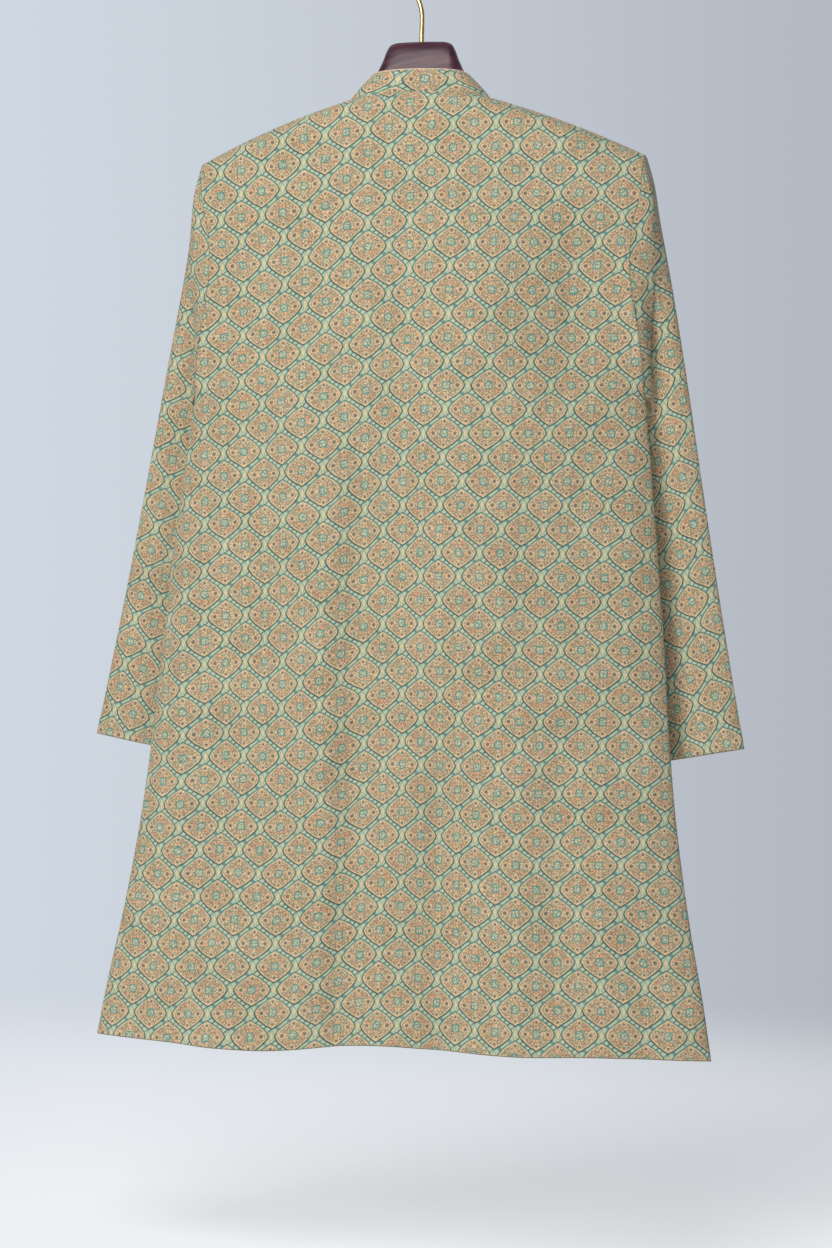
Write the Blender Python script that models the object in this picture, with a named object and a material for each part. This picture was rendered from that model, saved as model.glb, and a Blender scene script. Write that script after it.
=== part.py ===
"""Kurta on a wooden hanger, built from the pieces that a tailor cuts and sews.

All sizes are in metres. +Z is up, -Y is the garment's back, +Y its front, and the
origin is the inner top of the hook, where the hanger is held. "down" is always the
distance below that point. A cloth piece is one closed wall: its outer points come
from the garment's form, and its inner points lie one cloth thickness inside them.
"""

import math
from collections import namedtuple

import bmesh
import bpy
import numpy as np

# Cloth and seams
CLOTH = 0.0015
SEAM_GAP = 0.0003

# Driving sizes of the garment
SHOULDER_HALF = 0.230
NECK_HALF = 0.073
NECK_DOWN = 0.152
SHOULDER_DROP = 0.057
UNDERARM_DOWN = 0.455
SLIT_DOWN = 0.862
HEM_DOWN = 1.1145
SLIT_OPENING = 0.0030

# Shoulder line: how straight, how far forward, and the roll of the cloth over it
SHOULDER_STRAIGHT = 0.77
SHOULDER_FORWARD = 0.022
ROLL_RADIUS = 0.020
TIP_HALF_DEPTH = 0.0245
NECK_RISE = 0.012

# Neckline depths, measured along the cloth from the shoulder line
BACK_NECK_RUN = 0.021
FRONT_NECK_RUN = 0.093
NECK_SQUARENESS = 2.3
LEAST_TOP_RUN = 0.012

# Folds grow from their upper end and die out before their lower end, as parts of their length
FOLD_GROWN = 0.33
FOLD_FADING = 0.88
FOLD_EDGE_POWER = 6

# The armhole stands open: how fast that dies out across the panel, at the shoulder and the underarm
OPENING_POWER_UPPER = 2.0
OPENING_POWER_LOWER = 12.0
OPENING_NARROWS_DOWN = 0.26

# Collar band
COLLAR_TOP_DOWN = 0.126
COLLAR_TOP_SHARE = 0.671
COLLAR_TOP_DEPTH_SHARE = 0.90
COLLAR_FRONT_RISE = 0.029
COLLAR_FRONT_GAP = 0.0035
COLLAR_FRONT_RUN = 0.05
COLLAR_SWELL = 0.0012
COLLAR_FLAT_HALF = 0.02

# Placket down the centre front
PLACKET_HALF = 0.016
NOTCH_HALF = 0.011
PLACKET_CLOTH = 0.0013
BUTTON_RADIUS = 0.006
BUTTON_COUNT = 4
BUTTON_FIRST = 0.028
BUTTON_STEP = 0.070

# Sleeve
CUFF_FLAT = 0.140
SLEEVE_CLEARANCE = 0.0020
SLEEVE_REACH = 0.006
SLEEVE_HOLLOW = 0.004
CUFF_INNER_Y = 0.0475
ARMHOLE_FADE = 0.12
ARMHOLE_DEPTH_FADE = 0.22
SLEEVE_FREE_SHARE = 0.03

# Hanger
WIRE_RADIUS = 0.0024
HOOK_RADIUS = 0.021
HOOK_SWAN_RADIUS = 0.049
HOOK_END_ANGLE = math.radians(-28.0)
HOOK_FLICK_RADIUS = 0.009
HOOK_FLICK_ANGLE = math.radians(55.0)
HOOK_END_TURNS = (math.radians(30.0), math.radians(60.0))
WOOD_TOP_DOWN = 0.0926
WIRE_IN_WOOD = 0.018
HOLE_GAP = 0.0003
WOOD_REACH = 0.216
WOOD_BELOW_CLOTH = 0.0024

# Mesh steps
ROLL_STEPS = 4
ARMHOLE_STEPS = 7
BODY_STEPS = 9
SKIRT_STEPS = 6
NECK_COLUMNS = 8
NECK_CROWDING = 1.6
SHOULDER_COLUMNS = 9
EDGE_CROWDING = 0.35
NOTCH_STEPS = 12
PLACKET_STEPS = 13
COLLAR_STEPS = 3
WIRE_SIDES = 10
HOOK_SWAN_STEPS = 4
HOOK_LOOP_STEPS = 20
HOOK_FLICK_STEPS = 4
WOOD_SIDES = 16
BUTTON_SIDES = 16
SHARP_ANGLE = math.radians(38.0)

BACK = -1
FRONT = 1

BodySection = namedtuple("BodySection", "down half_width side_y back_y front_y roundness")
BODY = (
    BodySection(0.130, 0.2300, 0.0220, -0.033, 0.040, 2.00),
    BodySection(0.209, 0.2300, 0.0220, -0.034, 0.041, 2.00),
    BodySection(0.249, 0.2276, 0.0220, -0.035, 0.041, 2.00),
    BodySection(0.290, 0.2190, 0.0215, -0.036, 0.040, 2.00),
    BodySection(0.335, 0.2185, 0.0205, -0.037, 0.040, 2.00),
    BodySection(0.400, 0.2285, 0.0190, -0.038, 0.039, 1.85),
    BodySection(0.455, 0.2345, 0.0175, -0.039, 0.039, 1.55),
    BodySection(0.565, 0.2464, 0.0140, -0.040, 0.038, 1.25),
    BodySection(0.687, 0.2578, 0.0110, -0.041, 0.037, 1.20),
    BodySection(0.819, 0.2686, 0.0080, -0.042, 0.037, 1.20),
    BodySection(0.862, 0.2730, 0.0070, -0.043, 0.036, 1.20),
    BodySection(0.982, 0.2906, 0.0050, -0.044, 0.036, 1.25),
    BodySection(1.063, 0.3060, 0.0035, -0.045, 0.036, 1.30),
    BodySection(1.1145, 0.3145, 0.0020, -0.045, 0.036, 1.30),
)

# A fold runs from its upper to its lower end; a height below nothing is a trough.
Fold = namedtuple("Fold", "x_upper down_upper x_lower down_lower half_width height")
BACK_FOLDS = (
    Fold(-0.014, 0.250, -0.006, 0.680, 0.024, -0.0050),
    Fold(-0.068, 0.500, -0.086, 1.160, 0.030, -0.0090),
    Fold(-0.030, 0.900, -0.020, 1.180, 0.022, 0.0060),
    Fold(0.036, 0.860, 0.044, 1.120, 0.026, -0.0070),
    Fold(0.112, 0.640, 0.136, 1.160, 0.034, 0.0080),
    Fold(0.160, 0.750, 0.172, 1.050, 0.020, -0.0040),
    Fold(0.200, 0.900, 0.212, 1.160, 0.026, 0.0050),
    Fold(-0.188, 0.240, -0.180, 0.470, 0.026, 0.0040),
    Fold(-0.140, 0.470, -0.134, 0.780, 0.026, -0.0050),
    Fold(-0.196, 0.760, -0.214, 1.000, 0.022, -0.0040),
    Fold(-0.170, 0.940, -0.190, 1.180, 0.034, 0.0070),
    Fold(0.118, 0.210, 0.090, 0.400, 0.034, 0.0030),
)
FRONT_FOLDS = (
    Fold(-0.092, 0.280, -0.104, 0.720, 0.026, -0.0050),
    Fold(0.088, 0.330, 0.082, 0.800, 0.024, -0.0045),
    Fold(-0.052, 0.700, -0.074, 1.160, 0.030, 0.0070),
    Fold(0.050, 0.640, 0.066, 1.160, 0.028, -0.0060),
    Fold(0.140, 0.600, 0.166, 1.160, 0.034, 0.0070),
    Fold(-0.158, 0.640, -0.186, 1.160, 0.032, -0.0060),
    Fold(0.004, 0.780, -0.006, 1.160, 0.024, 0.0050),
    Fold(0.224, 0.900, 0.246, 1.150, 0.024, -0.0040),
)

# The back's hem hangs lower between its troughs: x, and the drop below the hem's level
HemPoint = namedtuple("HemPoint", "x drop")
BACK_HEM = (
    HemPoint(-0.315, 0.0000),
    HemPoint(-0.235, 0.0025),
    HemPoint(-0.130, 0.0055),
    HemPoint(-0.050, -0.0025),
    HemPoint(-0.008, -0.0050),
    HemPoint(0.045, -0.0030),
    HemPoint(0.120, -0.0005),
    HemPoint(0.210, -0.0025),
    HemPoint(0.315, -0.0010),
)

# Sleeve edges in the plane of the body: "out" is the distance from the middle
SleeveStation = namedtuple("SleeveStation", "share out down y")
SLEEVE_OUTER = (
    SleeveStation(0.00, 0.2303, 0.2090, 0.0220),
    SleeveStation(0.05, 0.2385, 0.2370, 0.0250),
    SleeveStation(0.10, 0.2436, 0.2670, 0.0300),
    SleeveStation(0.20, 0.2555, 0.3280, 0.0370),
    SleeveStation(0.35, 0.2715, 0.4180, 0.0410),
    SleeveStation(0.60, 0.2960, 0.5670, 0.0430),
    SleeveStation(0.80, 0.3165, 0.6864, 0.0440),
    SleeveStation(1.00, 0.3385, 0.8065, 0.0440),
)
SLEEVE_INNER = (
    SleeveStation(0.00, 0.2348, 0.4550, 0.0175),
    SleeveStation(0.05, 0.2408, 0.4620, 0.0300),
    SleeveStation(0.08, 0.2400, 0.4700, 0.0400),
    SleeveStation(0.11, 0.2350, 0.4780, 0.0470),
    SleeveStation(0.15, 0.2235, 0.4900, 0.0515),
    SleeveStation(0.25, 0.1960, 0.5250, 0.0530),
    SleeveStation(0.35, 0.1765, 0.5650, 0.0530),
    SleeveStation(0.60, 0.1665, 0.6650, 0.0515),
    SleeveStation(0.80, 0.1800, 0.7500, 0.0500),
)
# Shares of the sleeve's length at its rings, closer together where it leaves the armhole
SLEEVE_SHARES = (0.0, 0.02, 0.045, 0.07, 0.09, 0.11, 0.13, 0.16, 0.20,
                 0.26, 0.34, 0.43, 0.52, 0.62, 0.72, 0.82, 0.91, 1.0)
SleeveDepth = namedtuple("SleeveDepth", "share half_depth")
SLEEVE_DEPTH = (
    SleeveDepth(0.00, 0.0200),
    SleeveDepth(0.25, 0.0170),
    SleeveDepth(0.60, 0.0150),
    SleeveDepth(1.00, 0.0125),
)
# Creases along a sleeve: "across" is 0 at the outer edge and 1 at the inner edge
SleeveFold = namedtuple("SleeveFold", "across_upper share_upper across_lower share_lower half_width height")
SLEEVE_FOLDS = (
    SleeveFold(0.30, 0.16, 0.22, 0.62, 0.09, -0.0030),
    SleeveFold(0.46, 0.40, 0.40, 1.05, 0.10, 0.0030),
    SleeveFold(0.70, 0.22, 0.66, 0.95, 0.10, -0.0035),
)

# Upper outline of the wood from its middle to where the arms meet the shoulders
NeckOutline = namedtuple("NeckOutline", "out top_down")
WOOD_NECK = (
    NeckOutline(0.0000, 0.0926),
    NeckOutline(0.0180, 0.0929),
    NeckOutline(0.0280, 0.0940),
    NeckOutline(0.0325, 0.0966),
    NeckOutline(0.0350, 0.1010),
    NeckOutline(0.0385, 0.1100),
    NeckOutline(0.0455, 0.1260),
    NeckOutline(0.0485, 0.1350),
    NeckOutline(0.0540, 0.1450),
    NeckOutline(0.0640, 0.1530),
    NeckOutline(0.0760, 0.1575),
)
WOOD_ARM_OUTS = (0.092, 0.112, 0.134, 0.156, 0.178, 0.197, 0.207, 0.213)
WoodSection = namedtuple("WoodSection", "out bottom_down half_depth squareness")
WOOD = (
    WoodSection(0.000, 0.190, 0.0140, 3.0),
    WoodSection(0.030, 0.191, 0.0132, 3.0),
    WoodSection(0.046, 0.192, 0.0122, 2.8),
    WoodSection(0.076, 0.197, 0.0150, 2.5),
    WoodSection(0.134, 0.213, 0.0192, 2.3),
    WoodSection(0.216, 0.243, 0.0195, 2.3),
)
# The rounded tips: how far each ring lies beyond the arm's end, and its size there
TipRing = namedtuple("TipRing", "beyond size")
WOOD_TIP = (
    TipRing(-0.0008, 0.84),
    TipRing(0.0012, 0.58),
)

ButtonRing = namedtuple("ButtonRing", "radius_share depth")
BUTTON_PROFILE = (
    ButtonRing(0.92, 0.0000),
    ButtonRing(1.00, 0.0005),
    ButtonRing(1.00, 0.0016),
    ButtonRing(0.86, 0.0023),
    ButtonRing(0.68, 0.0017),
)


def read_table(rows, column, place):
    """Value of a named column at a place, on a smooth curve through the rows."""
    places = np.array([row[0] for row in rows])
    values = np.array([getattr(row, column) for row in rows])
    slopes = np.gradient(values, places)
    low = int(np.clip(np.searchsorted(places, place) - 1, 0, len(places) - 2))
    span = places[low + 1] - places[low]
    part = min(max((place - places[low]) / span, 0.0), 1.0)
    keep, turn = part * part * (3.0 - 2.0 * part), part * (1.0 - part)
    bend = turn * (1.0 - part) * slopes[low] - turn * part * slopes[low + 1]
    return float(values[low] + (values[low + 1] - values[low]) * keep + span * bend)


def mix(start, end, part):
    """The value a given part of the way from start to end."""
    return start + (end - start) * part


def ease(start, end, value):
    """0 before start and 1 after end, with a soft change between."""
    part = min(max((value - start) / (end - start), 0.0), 1.0)
    return part * part * (3.0 - 2.0 * part)


def unit(vector):
    """A vector of length 1 in the same direction."""
    return vector / max(np.linalg.norm(vector), 1e-12)


def shoulder_down(out):
    """How far the shoulder line lies below the hold point, out from the middle."""
    if out < NECK_HALF:
        return NECK_DOWN - NECK_RISE * (1.0 - (out / NECK_HALF) ** 2)
    part = (out - NECK_HALF) / (SHOULDER_HALF - NECK_HALF)
    return NECK_DOWN + SHOULDER_DROP * (SHOULDER_STRAIGHT * part + (1.0 - SHOULDER_STRAIGHT) * part ** 2)


def shoulder_y(out):
    """The shoulder line curves forward toward its tips."""
    return SHOULDER_FORWARD * (out / SHOULDER_HALF) ** 2


def edge_half_depth(down):
    """Half the distance between front and back at the panel's side edge."""
    if down >= UNDERARM_DOWN:
        return SEAM_GAP / 2 + SLIT_OPENING * ease(SLIT_DOWN, HEM_DOWN, down)
    start = NECK_DOWN + SHOULDER_DROP + ROLL_RADIUS
    part = max((down - start) / (UNDERARM_DOWN - start), 0.0)
    return max(TIP_HALF_DEPTH * math.sqrt(math.cos(part * math.pi / 2)), SEAM_GAP / 2)


def fold_strength(along):
    """How far a fold is grown, a part of the way from its upper to its lower end."""
    return ease(0.0, FOLD_GROWN, along) * (1.0 - ease(FOLD_FADING, 1.0, along))


def fold_height(folds, x, down, share):
    """How far the folds lift the cloth outward, fading to nothing at the side edges."""
    total = 0.0
    for fold in folds:
        along = (down - fold.down_upper) / (fold.down_lower - fold.down_upper)
        if not 0.0 < along < 1.0:
            continue
        centre = mix(fold.x_upper, fold.x_lower, along)
        rise = math.exp(-((x - centre) / fold.half_width) ** 2)
        total += fold.height * rise * fold_strength(along)
    return total * (1.0 - share ** FOLD_EDGE_POWER)


def body_x(x_sign, share, down):
    """Distance from the middle, positive on the right."""
    return x_sign * share * read_table(BODY, "half_width", down)


def body_y(face, x_sign, share, down):
    """Depth of the front or back surface, a share of the way out to its side edge."""
    share = min(abs(share), 1.0)
    side = read_table(BODY, "side_y", down)
    centre = read_table(BODY, "front_y" if face == FRONT else "back_y", down)
    lens = (1.0 - share ** 2) ** (read_table(BODY, "roundness", down) / 2)
    lower = ease(OPENING_NARROWS_DOWN, UNDERARM_DOWN, down)
    opening = edge_half_depth(down) * share ** mix(OPENING_POWER_UPPER, OPENING_POWER_LOWER, lower)
    x = body_x(x_sign, share, down)
    folds = FRONT_FOLDS if face == FRONT else BACK_FOLDS
    return mix(side, centre, lens) + face * (opening + fold_height(folds, x, down, share))


def hem_down(face, x_sign, share):
    """The hem's depth at a share of the way out."""
    if face == FRONT:
        return HEM_DOWN
    return HEM_DOWN + read_table(BACK_HEM, "drop", body_x(x_sign, share, HEM_DOWN))


def surface_point(face, x_sign, share, run):
    """A point of the panel, a run along the cloth from the shoulder line."""
    out = share * SHOULDER_HALF
    roll_length = ROLL_RADIUS * math.pi / 2
    top = shoulder_down(out)
    if run >= roll_length:
        down = top + ROLL_RADIUS + run - roll_length
        return np.array((body_x(x_sign, share, down), body_y(face, x_sign, share, down), -down))
    angle = (1.0 - run / roll_length) * math.pi / 2
    down = top + ROLL_RADIUS * (1.0 - math.sin(angle))
    seam = shoulder_y(out) + face * SEAM_GAP / 2
    level = body_y(face, x_sign, share, top + ROLL_RADIUS)
    return np.array((body_x(x_sign, share, down), mix(seam, level, math.cos(angle)), -down))


def crowd(part):
    """Parts of the half width that lie closer together toward the side edge."""
    return mix(part, math.sin(math.pi / 2 * part), EDGE_CROWDING)


def column_shares(lower):
    """Shares of the half width for each column: 0 fits the neck, 1 spreads them evenly."""
    notch = NOTCH_HALF / SHOULDER_HALF
    neck = NECK_HALF / SHOULDER_HALF
    shares = []
    columns = NECK_COLUMNS + SHOULDER_COLUMNS
    for index in range(columns + 1):
        if index <= NECK_COLUMNS:
            crowded = 1.0 - (1.0 - index / NECK_COLUMNS) ** NECK_CROWDING
            upper = neck * math.sin(math.pi / 2 * crowded)
        else:
            part = (index - NECK_COLUMNS) / SHOULDER_COLUMNS
            upper = mix(neck, 1.0, crowd(part))
        even = crowd(index / columns)
        shares.append(notch if index == 1 else mix(upper, even, lower))
    return shares


def neck_run(face, out):
    """Run from the shoulder line to the neckline, which is a quarter of an oval."""
    depth = FRONT_NECK_RUN if face == FRONT else BACK_NECK_RUN
    rest = max(1.0 - (out / NECK_HALF) ** NECK_SQUARENESS, 0.0)
    return depth * rest ** (1.0 / NECK_SQUARENESS)


def surface_normal(face, x_sign, share, run):
    """The direction straight out of the panel's surface."""
    share_step = 0.003
    run_step = 0.0005
    across = (surface_point(face, x_sign, min(share + share_step, 1.0), run)
              - surface_point(face, x_sign, share - share_step, run))
    along = (surface_point(face, x_sign, share, run + run_step)
             - surface_point(face, x_sign, share, max(run - run_step, 0.0)))
    return unit(np.cross(across, along) * face * x_sign)


def column_places(face, x_sign, column):
    """Share and run of each point down one column, from neckline or shoulder seam to hem."""
    top_share = column_shares(0.0)[column]
    start = neck_run(face, top_share * SHOULDER_HALF)
    roll_length = ROLL_RADIUS * math.pi / 2
    roll_end = start + max(roll_length - start, LEAST_TOP_RUN)
    places = [(top_share, mix(start, roll_end, step / ROLL_STEPS)) for step in range(ROLL_STEPS + 1)]
    upper = shoulder_down(top_share * SHOULDER_HALF) + ROLL_RADIUS + roll_end - roll_length
    levels = [mix(upper, UNDERARM_DOWN, math.sin(math.pi / 2 * step / ARMHOLE_STEPS))
              for step in range(1, ARMHOLE_STEPS + 1)]
    levels += [mix(UNDERARM_DOWN, SLIT_DOWN, step / BODY_STEPS) for step in range(1, BODY_STEPS + 1)]
    hem = hem_down(face, x_sign, column_shares(1.0)[column])
    levels += [mix(SLIT_DOWN, hem, step / SKIRT_STEPS) for step in range(1, SKIRT_STEPS + 1)]
    for step, down in enumerate(levels):
        share = column_shares(ease(0.0, ARMHOLE_STEPS + 2, step + 1))[column]
        places.append((share, down - shoulder_down(share * SHOULDER_HALF) - ROLL_RADIUS + roll_length))
    return places


def panel_grid(face):
    """Outer points and normals of a panel, as rows from top to hem and columns across."""
    last = NECK_COLUMNS + SHOULDER_COLUMNS
    points, normals = [], []
    for number in range(-last, last + 1):
        x_sign = -1 if number < 0 else 1
        places = column_places(face, x_sign, abs(number))
        points.append([surface_point(face, x_sign, share, run) for share, run in places])
        normals.append([surface_normal(face, x_sign, share, run) for share, run in places])
    return np.array(points).transpose(1, 0, 2), np.array(normals).transpose(1, 0, 2)


def grid_normals(grid, facing, closed=False):
    """Outward directions at the grid's points, worked out from their neighbours."""
    if closed:
        across = np.roll(grid, -1, axis=1) - np.roll(grid, 1, axis=1)
    else:
        across = np.gradient(grid, axis=1)
    along = np.gradient(grid, axis=0)
    normals = np.cross(across, along) * facing
    return normals / np.linalg.norm(normals, axis=2, keepdims=True)


def armhole_walls(columns):
    """Outer and inner points round one armhole, down the back and up the front."""
    back, front = columns
    seam_rows = ROLL_STEPS + ARMHOLE_STEPS
    top = (back[0] + front[0]) / 2
    bottom = (back[seam_rows] + front[seam_rows]) / 2
    loop = np.array([top, *back[1:seam_rows], bottom, *front[1:seam_rows][::-1]])
    before = loop - np.roll(loop, 1, axis=0)
    after = np.roll(loop, -1, axis=0) - loop
    inner = []
    centre = loop.mean(axis=0)
    for point, edge_in, edge_out in zip(loop, before, after):
        first = unit(np.array((0.0, -edge_in[2], edge_in[1])))
        second = unit(np.array((0.0, -edge_out[2], edge_out[1])))
        direction = unit(first + second)
        miter = CLOTH / max(float(direction @ first), 0.5)
        if direction @ (point - centre) > 0:
            direction = -direction
        inner.append(point + direction * miter)
    return loop, np.array(inner)


def set_edge_walls(grid, inner, edge_column, loop_inner, face):
    """Square the wall's edges: shoulder seam, armhole and side seam of one side of a panel."""
    seam_rows = ROLL_STEPS + ARMHOLE_STEPS
    count = len(loop_inner)
    for row in range(grid.shape[0]):
        outer = grid[row, edge_column]
        if row == 0:
            inner[row, edge_column] = outer + (0.0, 0.0, -CLOTH)
        elif row < seam_rows:
            index = row if face == BACK else count - row
            inner[row, edge_column] = loop_inner[index]
        else:
            inward = -np.sign(outer[0]) * CLOTH
            inner[row, edge_column] = outer + (inward, 0.0, 0.0)
    lift = loop_inner[seam_rows][2] - grid[seam_rows, edge_column][2]
    inner[seam_rows, edge_column][2] += lift


def panel_walls(face, grid, normals, loops):
    """The inner points of a panel, square at every edge where another piece meets it."""
    middle = grid.shape[1] // 2
    for column in range(grid.shape[1]):
        if abs(column - middle) >= NECK_COLUMNS:
            normals[0, column, 1] = 0.0
            normals[0, column] = unit(normals[0, column])
        normals[-1, column, 2] = 0.0
        normals[-1, column] = unit(normals[-1, column])
    inner = grid - normals * CLOTH
    for edge_column, (_, loop_inner) in zip((0, -1), loops):
        set_edge_walls(grid, inner, edge_column, loop_inner, face)
    return inner


def wall_mesh(outer, inner, keep=None, closed=False):
    """Points and faces of a closed wall between two grids, without the cells left out."""
    rows, columns = outer.shape[:2]
    cells = columns if closed else columns - 1
    if keep is None:
        keep = np.ones((rows - 1, cells), dtype=bool)
    layer = rows * columns

    def index(row, column, side):
        return side * layer + row * columns + column % columns

    faces = []
    for row in range(rows - 1):
        for cell in range(cells):
            if not keep[row, cell]:
                continue
            corners = ((row, cell), (row, cell + 1), (row + 1, cell + 1), (row + 1, cell))
            faces.append([index(r, c, 0) for r, c in corners])
            faces.append([index(r, c, 1) for r, c in reversed(corners)])
            neighbours = ((row - 1, cell), (row, cell + 1), (row + 1, cell), (row, cell - 1))
            for number, (next_row, next_cell) in enumerate(neighbours):
                if closed:
                    next_cell %= cells
                inside = 0 <= next_row < rows - 1 and 0 <= next_cell < cells
                if inside and keep[next_row, next_cell]:
                    continue
                first, second = corners[number], corners[(number + 1) % 4]
                faces.append([index(*first, 0), index(*first, 1),
                              index(*second, 1), index(*second, 0)])
    return np.concatenate([outer.reshape(-1, 3), inner.reshape(-1, 3)]), faces


def tube_faces(ring_count, sides):
    """Faces of a closed solid made of rings with the same number of points."""
    faces = []
    for ring in range(ring_count - 1):
        for side in range(sides):
            after = (side + 1) % sides
            low, high = ring * sides, (ring + 1) * sides
            faces.append((low + side, low + after, high + after, high + side))
    faces.append(tuple(range(sides)))
    faces.append(tuple(range((ring_count - 1) * sides, ring_count * sides)))
    return faces


def make_material(name, color, roughness, metallic=0.0):
    """A plain material with the piece's colour, roughness and metallic value."""
    material = bpy.data.materials.new(name)
    material.use_nodes = True
    shader = material.node_tree.nodes["Principled BSDF"]
    shader.inputs["Base Color"].default_value = (*color, 1.0)
    shader.inputs["Roughness"].default_value = roughness
    shader.inputs["Metallic"].default_value = metallic
    return material


def add_object(name, points, faces, material, location=(0.0, 0.0, 0.0)):
    """One closed, smooth-shaded object from points and faces."""
    mesh = bpy.data.meshes.new(name)
    mesh.from_pydata([tuple(point) for point in points], [], faces)
    editor = bmesh.new()
    editor.from_mesh(mesh)
    loose = [vertex for vertex in editor.verts if not vertex.link_faces]
    bmesh.ops.delete(editor, geom=loose, context="VERTS")
    bmesh.ops.recalc_face_normals(editor, faces=editor.faces)
    if editor.calc_volume(signed=True) < 0.0:
        bmesh.ops.reverse_faces(editor, faces=editor.faces)
    editor.to_mesh(mesh)
    editor.free()
    mesh.shade_smooth()
    mesh.set_sharp_from_angle(angle=SHARP_ANGLE)
    mesh.materials.append(material)
    piece = bpy.data.objects.new(name, mesh)
    piece.location = location
    bpy.context.collection.objects.link(piece)
    return piece


def build_panels(material):
    """Back and front, whose walls share the armholes with the sleeves."""
    grids, normals = {}, {}
    for face in (BACK, FRONT):
        grids[face], normals[face] = panel_grid(face)
    loops = [armhole_walls((grids[BACK][:, edge], grids[FRONT][:, edge])) for edge in (0, -1)]
    walls = {face: panel_walls(face, grids[face], normals[face], loops) for face in (BACK, FRONT)}
    add_object("back", *wall_mesh(grids[BACK], walls[BACK]), material)
    keep = np.ones((grids[FRONT].shape[0] - 1, grids[FRONT].shape[1] - 1), dtype=bool)
    middle = grids[FRONT].shape[1] // 2
    keep[:NOTCH_STEPS, middle - 1:middle + 1] = False
    add_object("front", *wall_mesh(grids[FRONT], walls[FRONT], keep), material)
    return grids, walls, loops


def on_panel_row(row_points, x):
    """The point of a panel's row at a given x, on the straight run between its points."""
    order = np.argsort(row_points[:, 0])
    places = row_points[order, 0]
    return np.array([np.interp(x, places, row_points[order, axis]) for axis in range(3)])


def build_placket(grid, material):
    """Two overlapping strips down the front opening, with buttons on the upper one."""
    across = (-PLACKET_HALF, -NOTCH_HALF, 0.0, NOTCH_HALF, PLACKET_HALF)
    base = np.array([[on_panel_row(row, x) for x in across] for row in grid[:PLACKET_STEPS + 1]])
    base[0, :, 2] -= SEAM_GAP
    lift = SEAM_GAP
    for name in ("placket_under", "placket_top"):
        near = base + (0.0, lift, 0.0)
        far = base + (0.0, lift + PLACKET_CLOTH, 0.0)
        add_object(name, *wall_mesh(far, near), material["cloth"])
        lift += PLACKET_CLOTH + SEAM_GAP
    middle = base[:, len(across) // 2]
    for number in range(BUTTON_COUNT):
        down = -middle[0][2] + BUTTON_FIRST + number * BUTTON_STEP
        y = np.interp(down, -middle[:, 2], middle[:, 1]) + lift
        build_button(f"button_{number + 1}", (0.0, y, -down), material["button"])


def build_button(name, place, material):
    """A plain round button with a raised rim, turned about its own axis."""
    points = []
    for ring in BUTTON_PROFILE:
        radius = BUTTON_RADIUS * ring.radius_share
        for side in range(BUTTON_SIDES):
            angle = 2 * math.pi * side / BUTTON_SIDES
            points.append((radius * math.cos(angle), ring.depth, radius * math.sin(angle)))
    faces = tube_faces(len(BUTTON_PROFILE), BUTTON_SIDES)
    add_object(name, points, faces, material, location=place)


def collar_base(grids, walls):
    """Neckline points from the front middle round the back, and the way up from them."""
    middle = grids[BACK].shape[1] // 2
    left, right = middle - NECK_COLUMNS, middle + NECK_COLUMNS
    stops = [(FRONT, column) for column in range(middle, right)]
    stops += [(BACK, column) for column in range(right, left - 1, -1)]
    stops += [(FRONT, column) for column in range(left + 1, middle + 1)]
    outer = np.array([grids[face][0, column] for face, column in stops])
    inner = np.array([walls[face][0, column] for face, column in stops])
    for corner in (NECK_COLUMNS, 3 * NECK_COLUMNS):
        outer[corner][1] = inner[corner][1] = shoulder_y(NECK_HALF)
    upward = np.cross(outer - inner, np.gradient(outer, axis=0))
    upward /= np.linalg.norm(upward, axis=1, keepdims=True)
    if upward[2 * NECK_COLUMNS][2] < 0:
        upward = -upward
    return outer, inner, upward


def build_collar(grids, walls, material):
    """A standing band round the neckline, leaning in toward its top edge."""
    base_outer, base_inner, upward = collar_base(grids, walls)
    count = len(base_outer)
    top = base_outer.copy()
    for index, point in enumerate(base_outer):
        top[index][0] = point[0] * COLLAR_TOP_SHARE
        top[index][1] = point[1] * COLLAR_TOP_DEPTH_SHARE
        if point[1] > shoulder_y(NECK_HALF) + 1e-6:
            side_rise = NECK_DOWN - COLLAR_TOP_DOWN
            forward = ease(NECK_DOWN, NECK_DOWN + COLLAR_FRONT_RUN, -point[2])
            top[index][2] = point[2] + mix(side_rise, COLLAR_FRONT_RISE, forward)
        else:
            top[index][2] = -COLLAR_TOP_DOWN
    start = base_outer + upward * SEAM_GAP
    start_inner = base_inner + upward * SEAM_GAP
    rows = []
    for step in range(COLLAR_STEPS + 1):
        part = step / COLLAR_STEPS
        row = mix(start, top, part)
        swell = COLLAR_SWELL * math.sin(math.pi * part)
        row[:, 0] += swell * np.sign(row[:, 0]) * (np.abs(row[:, 0]) > COLLAR_FLAT_HALF)
        rows.append(row)
    outer = np.array(rows)
    for end in (0, count - 1):
        side = 1.0 if end == 0 else -1.0
        outer[:, end, 0] = side * COLLAR_FRONT_GAP / 2
    normals = grid_normals(outer, 1.0)
    if normals[0, count // 2, 1] > 0:
        normals = -normals
    for row in normals:
        row[0] = unit(row[0] * (0.0, 1.0, 1.0))
        row[-1] = unit(row[-1] * (0.0, 1.0, 1.0))
    inner = outer - normals * CLOTH
    inner[0] = start_inner
    for end in (0, count - 1):
        inner[0, end, 0] = outer[0, end, 0]
    add_object("collar", *wall_mesh(outer, inner), material)


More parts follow.
